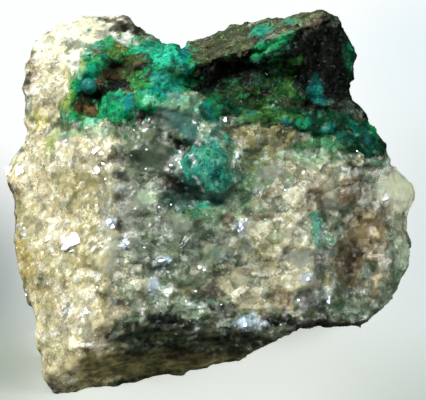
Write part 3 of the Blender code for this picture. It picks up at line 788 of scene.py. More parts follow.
def alongLine(steps, line):
    # how far each point is from a line of points, and on which side: below or to the right is positive
    near = np.full(len(steps), 1e9)
    side = np.zeros(len(steps))
    for (x0, y0), (x1, y1) in zip(line, line[1:]):
        dx, dy = x1 - x0, y1 - y0
        px, py = steps[:, 0] - x0, steps[:, 1] - y0
        t = np.clip((px * dx + py * dy) / (dx * dx + dy * dy), 0, 1)
        away = np.hypot(px - t * dx, py - t * dy)
        closer = away < near
        near = np.where(closer, away, near)
        side = np.where(closer, np.sign(dx * py - dy * px) * away, side)
    return near, side


def ovalReach(steps, spot):
    # 0 at an oval's middle and 1 at its rim
    x, y, halfWide, halfHigh, turn = spot
    c, s = math.cos(math.radians(turn)), math.sin(math.radians(turn))
    dx, dy = steps[:, 0] - x, steps[:, 1] - y
    return np.hypot((dx * c + dy * s) / halfWide, (dy * c - dx * s) / halfHigh)


def carve(mesh):
    # ledges, cracks, mounds and flat crystal faces cut into the front, along the eye's way
    start = meshArray(mesh, "co", 3)
    points = toFace(start)
    front = ease(*relief["facing"], facingEye(mesh))
    steps = wanderingSteps(points, relief["warps"])
    wobble = field(points, *relief["wobble"], 2)
    push = np.zeros(len(points))
    for *spot, height in relief["mounds"]:
        push += height * np.clip(1 - ovalReach(steps, spot) ** 2, 0, 1)
    for *spot, tiltRight, tiltDown in relief["faces"]:
        on = 1 - ease(*relief["faceEdge"], ovalReach(steps, spot))
        here = on * front > 0.5
        if not here.any():
            continue
        depth = points[:, 1] - push
        fall = (tiltRight * (steps[:, 0] - spot[0]) + tiltDown * (steps[:, 1] - spot[1])) * face["step"]
        push += on * (depth - (np.mean(depth[here]) + fall))
    uneven = 1 + relief["ledgeUneven"] * wobble
    for line, rise, riseWide, drop, dropWide in relief["ledges"]:
        near, side = alongLine(steps, line)
        below = ease(*relief["ledgeTurn"], side)
        proud, sunk = rise * (1 - below) * np.exp(-near / riseWide), drop * below * np.exp(-near / dropWide)
        push += uneven * (proud - sunk)
    for line, wide, deep in relief["cracks"]:
        near = alongLine(steps, line)[0]
        push -= deep * (1 + relief["crackUneven"] * wobble) * np.exp(-(near / wide) ** 2)
    placePoints(mesh, start + (push * front * mm)[:, None] * np.array((0, -cosLean, sinLean)))


def cover(reach, softness, patches):
    # how much of a mark lies at each point; its edge breaks up into patches
    solid = 1 - ease(1 - softness, 1 + softness, reach)
    return ease(0.3, 0.7, solid + 0.5 * patches * (1 - np.abs(2 * solid - 1)))


def stain(tint, pigment, on):
    tint += (linear(pigments[pigment]) - tint) * on[:, None]


def layOn(pigment, kind, on, tint, masks):
    stain(tint, pigment, on)
    for name in masks:
        masks[name] += ((name == kind) - masks[name]) * on


def shareOf(kind, masks):
    # quartz is all that is neither crust nor ore
    return masks[kind] if kind in masks else 1 - masks["crust"] - masks["ore"]


def softSpots(steps, spots, edge):
    # how much of the spots lies at each point; each ends with its share
    return np.clip(sum(share * (1 - ease(*edge, ovalReach(steps, spot))) for *spot, share in spots), 0, 1)


def paintFront(steps, patches, ragged, tint, masks):
    turn = 0
    for kind, pigment, strength, softness, spots in layers:
        for spot in spots:
            turn += 1
            unruly = skin["ragged"] * min(1, 0.3 + 2 * softness)
            reach = ovalReach(steps, spot) * (1 + unruly * ragged[turn % len(ragged)])
            layOn(pigment, kind, strength * cover(reach, softness, patches), tint, masks)


def paintRest(points, coarse, patches, tint, masks):
    tint[:] = linear(pigments["sand"])
    stain(tint, "cream", ease(*rest["warmth"], coarse + points[:, 0] / rest["warmAcross"]))
    for seed, (pigment, size, level) in enumerate(rest["stains"], 20):
        low, high = (level + edge for edge in rest["stainEdge"])
        patch = ease(low, high, field(points, size, seed) + rest["stainRagged"] * patches)
        stain(tint, pigment, rest["stainStrength"] * patch)
    for kind, pigment, centre, radii in bodies:
        reach = np.linalg.norm((points - np.array(centre)) / np.array(radii), axis=1)
        reach = reach + rest["bodyRagged"] * coarse
        layOn(pigment, kind, cover(reach, rest["bodyEdge"], patches + coarse), tint, masks)
        if kind == "ore":
            rim = np.abs(reach - rest["bloomReach"]) / rest["bloomWidth"]
            bloom = cover(rim, rest["bloomEdge"], patches) * rest["bloomStrength"]
            layOn("leaf", "crust", bloom, tint, masks)


def paintStreaks(points, steps, front, tint, masks):
    for seed, (kind, pigment, spot, (length, thickness), strength) in enumerate(streaks, 70):
        here = shareOf(kind, masks) * front * (1 - ease(*skin["streakEdge"], ovalReach(steps, spot)))
        c, s = math.cos(math.radians(spot[4])), math.sin(math.radians(spot[4]))
        along, over = points[:, 0] * c - points[:, 2] * s, points[:, 2] * c + points[:, 0] * s
        grain = np.stack([along / length, points[:, 1] / (thickness * 3), over / thickness], axis=-1)
        stain(tint, pigment, strength * here * ease(*skin["streakLevel"], field(grain, 1.0, seed, 2)))


def paintMottles(points, patches, calm, tint, masks):
    # mottles stay off black paint, which in the hollows is partly painted shadow
    lit = ease(*skin["hollowDark"], tint.mean(axis=1))
    for seed, (kind, pigment, size, level, strength) in enumerate(mottles, 40):
        here = shareOf(kind, masks) * lit * (1 - calm)
        patch = field(points, size, seed, 2) + skin["mottleRagged"] * patches
        stain(tint, pigment, strength * here * ease(level, level + skin["mottleEdge"], patch))


def growthMasks(mesh, steps, front, calm, tint, masks):
    # where each scatter grows, where quartz is glassy or smooth, and where a painted glow stands in for
    # light through thin quartz
    masks["glass"] = 1 - softSpots(steps, skin["chalkyPatches"], skin["chalkyEdge"]) * front
    masks["smooth"] = calm * (1 - skin["crustRough"] * masks["crust"])
    bare = 1 - skin["calmShare"] * masks["smooth"]
    offFloor = ease(*skin["footClear"], meshArray(mesh, "co", 3)[:, 2] / mm)
    masks["sugar"] = (1 - masks["crust"]) * (1 - masks["ore"]) * bare * offFloor
    masks["blocks"] = masks["sugar"] * ease(*skin["blockLevel"], masks["glass"])
    masks["crystals"] = masks["sugar"] * (skin["crystalShare"] + (1 - skin["crystalShare"]) * masks["glass"])
    masks["crystals"] *= 1 - front * (1 - ease(*skin["bandDark"], tint.mean(axis=1)))
    masks["beads"] = masks["crust"] * (1 - skin["calmShare"] * calm)
    masks["chips"] = masks["ore"] * bare * offFloor
    masks["paintedGlow"] = front * softSpots(steps, skin["paintedGlowPatches"], skin["paintedGlowEdge"])
    masks["front"] = front


def paint(mesh):
    points = toFace(meshArray(mesh, "co", 3))
    coarse = field(points, *skin["coarse"])
    patches = field(points, *skin["patches"])
    ragged = [field(points, skin["raggedSize"], seed) for seed in skin["raggedSeeds"]]
    steps = wanderingSteps(points, skin["warps"])
    count = len(points)
    frontTint = np.tile(linear(pigments["greyGreen"]), (count, 1))
    restTint = np.zeros((count, 3))
    frontMasks, restMasks = ({"crust": np.zeros(count), "ore": np.zeros(count)} for _ in range(2))
    paintFront(steps, patches, ragged, frontTint, frontMasks)
    paintRest(points, coarse, patches, restTint, restMasks)
    front = ease(*skin["frontEdge"], facingEye(mesh) + skin["frontRagged"] * patches)
    calm = np.zeros(count)
    for spot in skin["smoothPatches"]:
        calm = np.maximum(calm, cover(ovalReach(steps, spot), skin["calmEdge"], patches))
    calm = calm * front
    tint = restTint + (frontTint - restTint) * front[:, None]
    masks = {name: restMasks[name] + (frontMasks[name] - restMasks[name]) * front for name in frontMasks}
    paintMottles(points, patches, calm, tint, masks)
    paintStreaks(points, steps, front, tint, masks)
    growthMasks(mesh, steps, front, calm, tint, masks)
    colours = mesh.attributes.new("tint", "FLOAT_COLOR", "POINT")
    colours.data.foreach_set("color", np.column_stack([tint, np.ones(count)]).ravel())
    for name, values in masks.items():
        mesh.attributes.new(name, "FLOAT", "POINT").data.foreach_set("value", values)


def newGroup(name, kind, inputs, outputs):
    tree = bpy.data.node_groups.new(name, kind)
    for direction, sockets in (("INPUT", inputs), ("OUTPUT", outputs)):
        for socketName, socketKind, value in sockets:
            socket = tree.interface.new_socket(socketName, in_out=direction, socket_type=socketKind)
            if value is not None:
                socket.default_value = value
    ins = tree.nodes.new("NodeGroupInput").outputs
    outs = tree.nodes.new("NodeGroupOutput").inputs
    return tree, ins, outs


def numbers(**values):
    return [(name, "NodeSocketFloat", value) for name, value in values.items()]


def seededPlace(tree, seed, axis):
    # where a point is, in millimetres, shifted along one axis so that each seed gives its own pattern
    shift = put(tree, "ShaderNodeCombineXYZ", {axis: seed}).outputs[0]
    return calcVector(tree, "ADD", inMillimetres(tree), shift)


def noiseHeight(tree, where, size, detail):
    inputs = {"Vector": where, "Scale": calc(tree, "DIVIDE", 1.0, size), "Detail": detail, "Roughness": 0.6}
    return put(tree, "ShaderNodeTexNoise", inputs).outputs["Fac"]


def crystalCells():
    # close-packed grains: each has its own shade and lean, with darker seams between them
    normal = [("Normal", "NodeSocketVector", None)]
    tree, ins, outs = newGroup(
        "crystalCells", "ShaderNodeTree",
        numbers(Size=0.5, Contrast=0.3, Tilt=0.3, Seam=0.08, Seed=0.0) + normal,
        numbers(Shade=None, Lot=None, Seam=None) + normal,
    )
    where = seededPlace(tree, ins["Seed"], 0)
    wander = put(tree, "ShaderNodeTexNoise", {"Vector": where, "Scale": 1.6, "Detail": 2.0}).outputs["Color"]
    where = calcVector(tree, "ADD", where, scaled(tree, wander, 0.35))
    inputs = {"Vector": where, "Scale": calc(tree, "DIVIDE", 1.0, ins["Size"])}
    chosen = put(tree, "ShaderNodeTexVoronoi", inputs).outputs["Color"]
    edges = put(tree, "ShaderNodeTexVoronoi", inputs, feature="DISTANCE_TO_EDGE").outputs["Distance"]
    parts = put(tree, "ShaderNodeSeparateXYZ", {0: chosen}).outputs
    swing = product(tree, calc(tree, "SUBTRACT", parts[0], 0.5), 2.0)
    lean = scaled(tree, calcVector(tree, "SUBTRACT", chosen, (0.5, 0.5, 0.5)), ins["Tilt"])
    feed(tree, outs, {
        "Shade": calc(tree, "MULTIPLY_ADD", swing, ins["Contrast"], 1.0),
        "Lot": parts[1],
        "Seam": spread(tree, edges, 0.0, ins["Seam"], 1.0, 0.0),
        "Normal": calcVector(tree, "NORMALIZE", calcVector(tree, "ADD", ins["Normal"], lean)),
    })
    return tree


def flecks():
    # small ragged spots that cover a share of the surface
    inputs = numbers(Size=0.5, Amount=0.2, Edge=0.04, Seed=0.0)
    tree, ins, outs = newGroup("flecks", "ShaderNodeTree", inputs, numbers(Mask=None))
    height = noiseHeight(tree, seededPlace(tree, ins["Seed"], 1), ins["Size"], 3.0)
    level = calc(tree, "MULTIPLY_ADD", ins["Amount"], -0.4, 0.7)
    top = calc(tree, "ADD", level, ins["Edge"])
    feed(tree, outs, {"Mask": spread(tree, height, level, top, 0.0, 1.0)})
    return tree


def edgeGlintLines():
    # painted highlight: thin bright edges that wander between crystals, standing in for glints along them
    inputs = numbers(Size=1.0, Width=0.02, Seed=0.0)
    tree, ins, outs = newGroup("edgeGlintLines", "ShaderNodeTree", inputs, numbers(Mask=None))
    height = noiseHeight(tree, seededPlace(tree, ins["Seed"], 1), ins["Size"], 3.0)
    away = calc(tree, "ABSOLUTE", calc(tree, "SUBTRACT", height, 0.5))
    feed(tree, outs, {"Mask": spread(tree, away, 0.0, ins["Width"], 1.0, 0.0)})
    return tree


def fineGrit():
    # very fine uneven shade, around 1
    inputs = numbers(Size=0.3, Swing=0.3, Seed=0.0)
    tree, ins, outs = newGroup("grit", "ShaderNodeTree", inputs, numbers(Shade=None))
    height = noiseHeight(tree, seededPlace(tree, ins["Seed"], 2), ins["Size"], 2.0)
    height = product(tree, calc(tree, "SUBTRACT", height, 0.5), 4.0)
    feed(tree, outs, {"Shade": calc(tree, "MULTIPLY_ADD", height, ins["Swing"], 1.0)})
    return tree


cellGroup = crystalCells()
fleckGroup = flecks()
edgeGlintGroup = edgeGlintLines()
gritGroup = fineGrit()


def useGroup(tree, group, **values):
    return put(tree, "ShaderNodeGroup", values, node_tree=group).outputs


def fleckMask(tree, size, amount, edge, seed):
    return useGroup(tree, fleckGroup, Size=size, Amount=amount, Edge=edge, Seed=seed)["Mask"]


def painted(tree, name):
    node = put(tree, "ShaderNodeAttribute", attribute_type="GEOMETRY", attribute_name=name)
    return node.outputs["Color" if name == "tint" else "Fac"]


def lotShade(tree, shade, lots):
    # each scattered grain has its own shade
    if lots is None:
        return shade
    return product(tree, shade, spread(tree, painted(tree, "lot"), 0, 1, *lots, False))


def paler(tree, colour, factor, greyed=0.45):
    # brighter and nearer to white, so that frost on a yellow stone isn't yellow
    bright = scaled(tree, colour, factor)
    whole = put(tree, "ShaderNodeRGBToBW", {0: bright}).outputs[0]
    grey = put(tree, "ShaderNodeCombineColor", {0: whole, 1: whole, 2: whole}).outputs[0]
    return mixColour(tree, greyed, bright, grey)


def rgb(*display):
    return (*linear(display), 1.0)


def bareNormal(tree):
    return put(tree, "ShaderNodeNewGeometry").outputs["Normal"]


def bumped(tree, strength, distance, height, normal):
    inputs = {"Strength": strength, "Distance": distance * mm, "Height": height, "Normal": normal}
    return put(tree, "ShaderNodeBump", inputs).outputs["Normal"]


def fineNoise(tree, scale, detail):
    inputs = {"Vector": put(tree, "ShaderNodeTexCoord").outputs["Object"], "Scale": scale, "Detail": detail}
    return put(tree, "ShaderNodeTexNoise", inputs).outputs["Fac"]


def lightThrough(weight, radius, scale):
    return {"Subsurface Weight": weight, "Subsurface Radius": radius, "Subsurface Scale": scale * mm}


# What the quartz is made of: sizes in millimetres, the rest as shares, shades and levels of a crystal's lot.
quartzLook = {
    "crystal": 1.7, "sugar": 0.6, "coarse": 0.16, "fine": 0.12, "lean": 0.3, "grit": 0.2, "lots": None,
    "calmShade": 0.7, "calmest": 0.25,
    "frosty": 0.2, "frostyLots": (0.06, 0.24), "frostPaler": 1.9,
    "glassy": 0.9, "glassyLots": (0.66, 0.76), "glassColour": (182, 196, 186),
    "warm": (1.06, 1.0, 0.88, 1), "cool": (0.94, 1.02, 1.0, 1), "warmCool": 0.8,
    # rimGlints, edgeGlints and paintedSparkle are painted highlights: paler rims, thin bright edges and
    # flecks standing in for glints
    "seams": 0.6, "seamColour": (146, 132, 100), "rimGlints": 0.25,
    "edgeGlints": 0.85, "edgeGlintPaler": 2.4,
    "dust": 0.14, "dustStrength": 0.6, "dustColour": (74, 66, 46),
    "paintedSparkle": 0.2, "paintedSparkleStrength": 0.45, "paintedSparklePaler": 2.3,
    # paintedGlow: how strongly the painted glow lights the quartz
    "paintedGlow": 0.4, "roughness": (0.5, 0.2), "milky": 0.8,
}
# the sugar has weaker painted highlights: fewer rim glints and less painted sparkle
sugarLook = {
    **quartzLook, "crystal": 1.9, "coarse": 0.1, "fine": 0.08, "lean": 0.1, "seams": 0.25, "grit": 0.16,
    "rimGlints": 0.15, "glassy": 0.8, "dust": 0.1, "paintedSparkle": 0.15, "lots": (0.84, 1.2),
}


def quartzFinish(name, look):
    # sugary quartz: frosty, glassy and dusty crystals packed together, brown dust in the seams
    material, tree, shader = newMaterial(name)
    broad = useGroup(tree, cellGroup, Size=look["crystal"], Contrast=look["coarse"], Tilt=look["lean"],
                     Seam=0.05, Seed=3.0, Normal=bareNormal(tree))
    small = useGroup(tree, cellGroup, Size=look["sugar"], Contrast=look["fine"], Tilt=look["lean"],
                     Seam=0.10, Seed=11.0, Normal=broad["Normal"])
    calm = painted(tree, "smooth")
    loud = spread(tree, calm, 0, 1, 1, look["calmest"])
    shade = lotShade(tree, product(tree, broad["Shade"], small["Shade"]), look["lots"])
    shade = product(tree, shade, useGroup(tree, gritGroup, Size=0.24, Swing=look["grit"], Seed=2.0)["Shade"])
    even = product(tree, calm, look["calmShade"])
    shade = put(tree, "ShaderNodeMix", {0: even, 2: shade, 3: 1.0}).outputs[0]
    colour = painted(tree, "tint")
    frosty = spread(tree, broad["Lot"], *look["frostyLots"], look["frosty"], 0.0)
    colour = mixColour(tree, product(tree, frosty, loud), colour, paler(tree, colour, look["frostPaler"]))
    glassy = spread(tree, broad["Lot"], *look["glassyLots"], 0.0, look["glassy"])
    glassy = product(tree, glassy, loud, painted(tree, "glass"))
    colour = mixColour(tree, glassy, colour, multiplied(tree, 1.0, colour, rgb(*look["glassColour"])))
    tone = mixColour(tree, small["Lot"], look["warm"], look["cool"])
    colour = scaled(tree, multiplied(tree, look["warmCool"], colour, tone), shade)
    patchy = fleckMask(tree, 1.6, 0.5, 0.12, 15.0)
    seams = product(tree, calc(tree, "MAXIMUM", broad["Seam"], small["Seam"]), look["seams"], patchy, loud)
    colour = mixColour(tree, seams, colour, multiplied(tree, 1.0, colour, rgb(*look["seamColour"])))
    # painted highlights: paler crystal rims and thin bright edges, standing in for glints
    rimGlints = product(tree, small["Seam"], calc(tree, "SUBTRACT", 1.0, patchy), look["rimGlints"], loud)
    colour = mixColour(tree, rimGlints, colour, paler(tree, colour, look["frostPaler"]))
    edgeGlints = product(tree, useGroup(tree, edgeGlintGroup, Size=1.1, Width=0.03, Seed=27.0)["Mask"],
                    product(tree, loud, look["edgeGlints"]), fleckMask(tree, 2.2, 0.5, 0.1, 29.0))
    colour = mixColour(tree, edgeGlints, colour, paler(tree, colour, look["edgeGlintPaler"]))
    dust = product(tree, fleckMask(tree, 0.5, look["dust"], 0.05, 5.0),
                   product(tree, loud, look["dustStrength"]))
    colour = mixColour(tree, dust, colour, mixColour(tree, 0.7, colour, rgb(*look["dustColour"])))
    # painted highlight: bright flecks standing in for sparkle
    bright = product(tree, fleckMask(tree, 0.34, look["paintedSparkle"], 0.04, 8.0),
                     product(tree, loud, look["paintedSparkleStrength"]))
    colour = mixColour(tree, bright, colour, paler(tree, colour, look["paintedSparklePaler"]))
    height = useGroup(tree, gritGroup, Size=0.18, Swing=0.5, Seed=14.0)["Shade"]
    feed(tree, shader.inputs, {
        "Base Color": colour,
        # painted glow: emission standing in for light through thin quartz and on shaded faces at the foot
        "Emission Color": scaled(tree, colour, product(tree, painted(tree, "paintedGlow"), look["paintedGlow"])),
        "Emission Strength": 1.0,
        "Roughness": spread(tree, small["Lot"], 0.0, 1.0, *look["roughness"]),
        "Normal": bumped(tree, 0.2, 0.05, height, small["Normal"]),
        "IOR": 1.544,
        "Specular IOR Level": 0.4,
        **lightThrough(look["milky"], (1.0, 0.95, 0.8), 1.1),
    })
    return material


crustLook = {
    "grain": {"Size": 0.5, "Contrast": 0.16, "Tilt": 0.2, "Seam": 0.10, "Seed": 23.0},
    "pale": 0.6, "paler": 1.8, "paleGrey": 0.12, "seams": 0.4, "deepColour": (110, 158, 130),
    "roughness": (0.6, 0.3), "bumpScale": 6000.0, "bump": 0.4,
}
oreLook = {
    "broad": {"Size": 1.1, "Contrast": 0.4, "Tilt": 0.5, "Seam": 0.04, "Seed": 41.0},
    "small": {"Size": 0.32, "Contrast": 0.5, "Tilt": 0.6, "Seam": 0.1, "Seed": 47.0},
    "green": 0.7, "greenLift": 3.0, "greenColour": (0.5, 1.0, 0.6, 1),
    "rust": 0.6, "rustLift": 2.6, "rustColour": (1.0, 0.7, 0.4, 1),
    # bright: a few cells painted lighter as painted glints
    "bright": 0.25, "glintLots": (0.93, 0.96), "glintColour": (96, 112, 102),
    "roughness": (0.7, 0.25), "bumpScale": 4200.0, "bump": 0.5,
}


def crustFinish(name, lots=None):
    # chrysocolla bloom: tiny round beads from deep green to pale mint
    material, tree, shader = newMaterial(name)
    beads = useGroup(tree, cellGroup, **crustLook["grain"], Normal=bareNormal(tree))
    colour = scaled(tree, painted(tree, "tint"), lotShade(tree, beads["Shade"], lots))
    pale = product(tree, fleckMask(tree, 0.32, 0.34, 0.06, 9.0), crustLook["pale"])
    colour = mixColour(tree, pale, colour, paler(tree, colour, crustLook["paler"], crustLook["paleGrey"]))
    seams = product(tree, beads["Seam"], crustLook["seams"])
    deep = calc(tree, "MAXIMUM", seams, fleckMask(tree, 0.5, 0.34, 0.08, 31.0))
    colour = mixColour(tree, deep, colour, multiplied(tree, 1.0, colour, rgb(*crustLook["deepColour"])))
    height = fineNoise(tree, crustLook["bumpScale"], 2.0)
    feed(tree, shader.inputs, {
        "Base Color": colour,
        "Roughness": spread(tree, beads["Lot"], 0.0, 1.0, *crustLook["roughness"]),
        "Normal": bumped(tree, crustLook["bump"], 0.05, height, beads["Normal"]),
        "IOR": 1.5,
        "Specular IOR Level": 0.08,
        **lightThrough(0.3, (0.5, 1.0, 0.9), 0.35),
    })
    return material


def oreFinish(name, lots=None):
    # dark copper ore: broken black and brown faces with green and rusty specks, and a few cells painted
    # bright as glints
    material, tree, shader = newMaterial(name)
    broad = useGroup(tree, cellGroup, **oreLook["broad"], Normal=bareNormal(tree))
    small = useGroup(tree, cellGroup, **oreLook["small"], Normal=broad["Normal"])
    shade = lotShade(tree, product(tree, broad["Shade"], small["Shade"]), lots)
    colour = scaled(tree, painted(tree, "tint"), shade)
    green = product(tree, fleckMask(tree, 0.5, 0.36, 0.06, 51.0), oreLook["green"])
    greener = multiplied(tree, 1.0, scaled(tree, colour, oreLook["greenLift"]), oreLook["greenColour"])
    colour = mixColour(tree, green, colour, greener)
    rust = product(tree, fleckMask(tree, 0.32, 0.2, 0.05, 61.0), oreLook["rust"])
    rustier = multiplied(tree, 1.0, scaled(tree, colour, oreLook["rustLift"]), oreLook["rustColour"])
    colour = mixColour(tree, rust, colour, rustier)
    # painted highlight: a few cells lighter, standing in for glints
    bright = product(tree, spread(tree, small["Lot"], *oreLook["glintLots"], 0.0, 1.0), oreLook["bright"])
    height = fineNoise(tree, oreLook["bumpScale"], 3.0)
    feed(tree, shader.inputs, {
        "Base Color": mixColour(tree, bright, colour, rgb(*oreLook["glintColour"])),
        "Roughness": spread(tree, small["Lot"], 0.0, 1.0, *oreLook["roughness"]),
        "Normal": bumped(tree, oreLook["bump"], 0.08, height, small["Normal"]),
        "Specular IOR Level": 0.1,
    })
    return material


quartzSkin = quartzFinish("quartzSkin", quartzLook)
quartzSugar = quartzFinish("quartzSugar", sugarLook)
crustSkin = crustFinish("crustSkin")
crustBeads = crustFinish("crustBeads", (0.84, 1.18))
oreSkin = oreFinish("oreSkin")
oreChips = oreFinish("oreChips", (0.5, 1.9))
print("finishes mixed")


def treeFor(name, inputs):
    geometry = ("Geometry", "NodeSocketGeometry", None)
    sockets = [geometry] + [(n, k or "NodeSocketFloat", None) for n, k in inputs]
    return newGroup(name, "GeometryNodeTree", sockets, [geometry])


def applyTree(thing, tree, values):
    modifier = thing.modifiers.new(tree.name, "NODES")
    modifier.node_group = tree
    for item in tree.interface.items_tree:
        if item.item_type == "SOCKET" and item.in_out == "INPUT" and item.name in values:
            modifier[item.identifier] = values[item.name]
    return settle(thing)


def readMask(tree, name):
    node = put(tree, "GeometryNodeInputNamedAttribute", {"Name": name}, data_type="FLOAT")
    return node.outputs["Attribute"]


def positionNode(tree):
    return scaled(tree, put(tree, "GeometryNodeInputPosition").outputs[0], 1 / mm)


def tiltedCells(tree, size, amount, seed):
    # height of flat tilted facets, one to each cell
    where = calcVector(tree, "ADD", positionNode(tree), (seed, 0.0, 0.0))
    cells = put(tree, "ShaderNodeTexVoronoi", {"Vector": where, "Scale": calc(tree, "DIVIDE", 1.0, size)})
    out = calcVector(tree, "SUBTRACT", where, cells.outputs["Position"])
    lean = calcVector(tree, "SUBTRACT", cells.outputs["Color"], (0.5, 0.5, 0.5))
    return product(tree, calcVector(tree, "DOT_PRODUCT", out, lean), amount)


def roundBumps(tree, size, height):
    # height of soft domes, one to each cell
    inputs = {"Vector": positionNode(tree), "Scale": calc(tree, "DIVIDE", 1.0, size), "Smoothness": 0.4}
    away = put(tree, "ShaderNodeTexVoronoi", inputs, feature="SMOOTH_F1").outputs["Distance"]
    return product(tree, calc(tree, "SUBTRACT", 0.7, product(tree, away, away)), height)


def weatheringTree():
    # facets on quartz and ore, round beads on the crust
    tree, ins, outs = treeFor("weathering", [
        ("Facet Size", None), ("Facet Lean", None), ("Grain Size", None), ("Grain Lean", None),
        ("Bead Size", None), ("Bead Height", None), ("Quartz", "NodeSocketMaterial"),
        ("Crust", "NodeSocketMaterial"), ("Ore", "NodeSocketMaterial")])
    ragged = calc(tree, "SUBTRACT", 1.0, product(tree, readMask(tree, "smooth"), 0.8))
    ragged = product(tree, ragged, spread(tree, readMask(tree, "glass"), 0, 1, 0.6, 1.0, False))
    facets = tiltedCells(tree, ins["Facet Size"], ins["Facet Lean"], 7.0)
    grains = tiltedCells(tree, ins["Grain Size"], ins["Grain Lean"], 19.0)
    rough = product(tree, calc(tree, "ADD", facets, grains), ragged)
    beads = product(tree, roundBumps(tree, ins["Bead Size"], ins["Bead Height"]), readMask(tree, "crust"))
    height = product(tree, calc(tree, "ADD", rough, beads), mm)
    offset = scaled(tree, put(tree, "GeometryNodeInputNormal").outputs[0], height)
    moved = put(tree, "GeometryNodeSetPosition", {"Geometry": ins["Geometry"], "Offset": offset}).outputs[0]
    moved = put(tree, "GeometryNodeRealizeInstances", {"Geometry": moved}).outputs[0]
    done = put(tree, "GeometryNodeSetMaterial", {"Geometry": moved, "Material": ins["Quartz"]}).outputs[0]
    for socket, mask in (("Crust", "crust"), ("Ore", "ore")):
        inputs = {0: readMask(tree, mask), 1: 0.5}
        chosen = put(tree, "FunctionNodeCompare", inputs, operation="GREATER_THAN").outputs[0]
        inputs = {"Geometry": done, "Selection": chosen, "Material": ins[socket]}
        done = put(tree, "GeometryNodeSetMaterial", inputs).outputs[0]
    feed(tree, outs, {"Geometry": done})
    return tree


def randomShare(tree, seed):
    return put(tree, "FunctionNodeRandomValue", {2: 0.0, 3: 1.0, 8: seed}, data_type="FLOAT").outputs[1]


def stored(tree, geometry, name, value):
    inputs = {"Geometry": geometry, "Name": name, "Value": value}
    return put(tree, "GeometryNodeStoreNamedAttribute", inputs, data_type="FLOAT", domain="POINT").outputs[0]


def strayTurn(tree, lean):
    # any turn about the surface's normal, and a lean up to the one given
    over = product(tree, lean, -1.0)
    least = put(tree, "ShaderNodeCombineXYZ", {0: over, 1: over, 2: -math.pi}).outputs[0]
    most = put(tree, "ShaderNodeCombineXYZ", {0: lean, 1: lean, 2: math.pi}).outputs[0]
    inputs = {0: least, 1: most, 8: 3}
    return put(tree, "FunctionNodeRandomValue", inputs, data_type="FLOAT_VECTOR").outputs[0]


def scatterTree():
    # grows small shapes from a surface where a mask allows, each with its own turn, size and lot
    tree, ins, outs = treeFor("scatter", [
        ("Shapes", "NodeSocketCollection"), ("Mask", "NodeSocketString"), ("Side", "NodeSocketString"),
        ("Side Share", None), ("Spacing", None), ("Smallest", None), ("Largest", None), ("Sink", None),
        ("Lean", None), ("Seed", "NodeSocketInt"), ("Material", "NodeSocketMaterial")])
    # Side Share 1 keeps the side's points, 0 keeps the others
    off = calc(tree, "SUBTRACT", ins["Side Share"], readMask(tree, ins["Side"]))
    onSide = calc(tree, "GREATER_THAN", calc(tree, "SUBTRACT", 1.0, calc(tree, "ABSOLUTE", off)), 0.5)
    allowed = product(tree, readMask(tree, ins["Mask"]), onSide)
    spots = put(tree, "GeometryNodeDistributePointsOnFaces", {
        "Mesh": ins["Geometry"], "Distance Min": product(tree, ins["Spacing"], mm), "Density Max": 6e6,
        "Density Factor": spread(tree, allowed, 0.4, 0.8, 0.0, 1.0), "Seed": ins["Seed"]},
        distribute_method="POISSON")
    pull = calc(tree, "POWER", randomShare(tree, 1), 1.6)
    gap = calc(tree, "SUBTRACT", ins["Largest"], ins["Smallest"])
    size = calc(tree, "MULTIPLY_ADD", pull, gap, ins["Smallest"])
    marked = stored(tree, spots.outputs["Points"], "lot", randomShare(tree, 2))
    marked = stored(tree, marked, "width", size)
    held = readMask(tree, "width")
    down = scaled(tree, spots.outputs["Normal"], product(tree, held, ins["Sink"], -mm))
    sunk = put(tree, "GeometryNodeSetPosition", {"Geometry": marked, "Offset": down}).outputs[0]
    shapes = put(tree, "GeometryNodeCollectionInfo", {
        "Collection": ins["Shapes"], "Separate Children": True, "Reset Children": True}).outputs[0]
    turn = put(tree, "FunctionNodeRotateRotation", {
        0: spots.outputs["Rotation"], 1: strayTurn(tree, ins["Lean"])}, rotation_space="LOCAL").outputs[0]
    pick = put(tree, "FunctionNodeRandomValue", {4: 0, 5: 63, 8: 4}, data_type="INT").outputs[2]
    placed = put(tree, "GeometryNodeInstanceOnPoints", {
        "Points": sunk, "Instance": shapes, "Pick Instance": True, "Instance Index": pick,
        "Rotation": turn, "Scale": held}).outputs[0]
    real = put(tree, "GeometryNodeRealizeInstances", {"Geometry": placed}).outputs[0]
    done = put(tree, "GeometryNodeSetMaterial", {"Geometry": real, "Material": ins["Material"]}).outputs[0]
    feed(tree, outs, {"Geometry": done})
    return tree


# Small shapes that the scatters repeat, each about a millimetre across.
grainReach = (0.42, 0.56)
beadSwing = (0.94, 1.06)


def brokenGrain(name, seed, corners, squash, top):
    # a broken crystal with a flat face on top
    rng = random.Random(seed)
    work = bmesh.new()
    for _ in range(corners):
        v = Vector([rng.gauss(0, 1) for _ in range(3)]).normalized() * rng.uniform(*grainReach) * mm
        work.verts.new((v.x, v.y, min(v.z * squash, top * mm)))
    hull = bmesh.ops.convex_hull(work, input=work.verts)
    inside = [v for v in hull["geom_interior"] if isinstance(v, bmesh.types.BMVert)]
    bmesh.ops.delete(work, geom=inside, context="VERTS")
    bmesh.ops.recalc_face_normals(work, faces=work.faces)
    return bpy.data.objects.new(name, meshOf(work, name))


def roundBead(name, seed):
    rng = random.Random(seed)
    work = bmesh.new()
    bmesh.ops.create_icosphere(work, subdivisions=1, radius=0.5 * mm)
    bmesh.ops.subdivide_edges(work, edges=work.edges, cuts=1, use_grid_fill=True)
    for v in work.verts:
        v.co = v.co.normalized() * 0.5 * mm * rng.uniform(*beadSwing)
    for f in work.faces:
        f.smooth = True
    return bpy.data.objects.new(name, meshOf(work, name))


def shapeSet(name, makers):
    group = bpy.data.collections.new(name)
    bpy.context.scene.collection.children.link(group)
    for thing in makers:
        group.objects.link(thing)
    return group


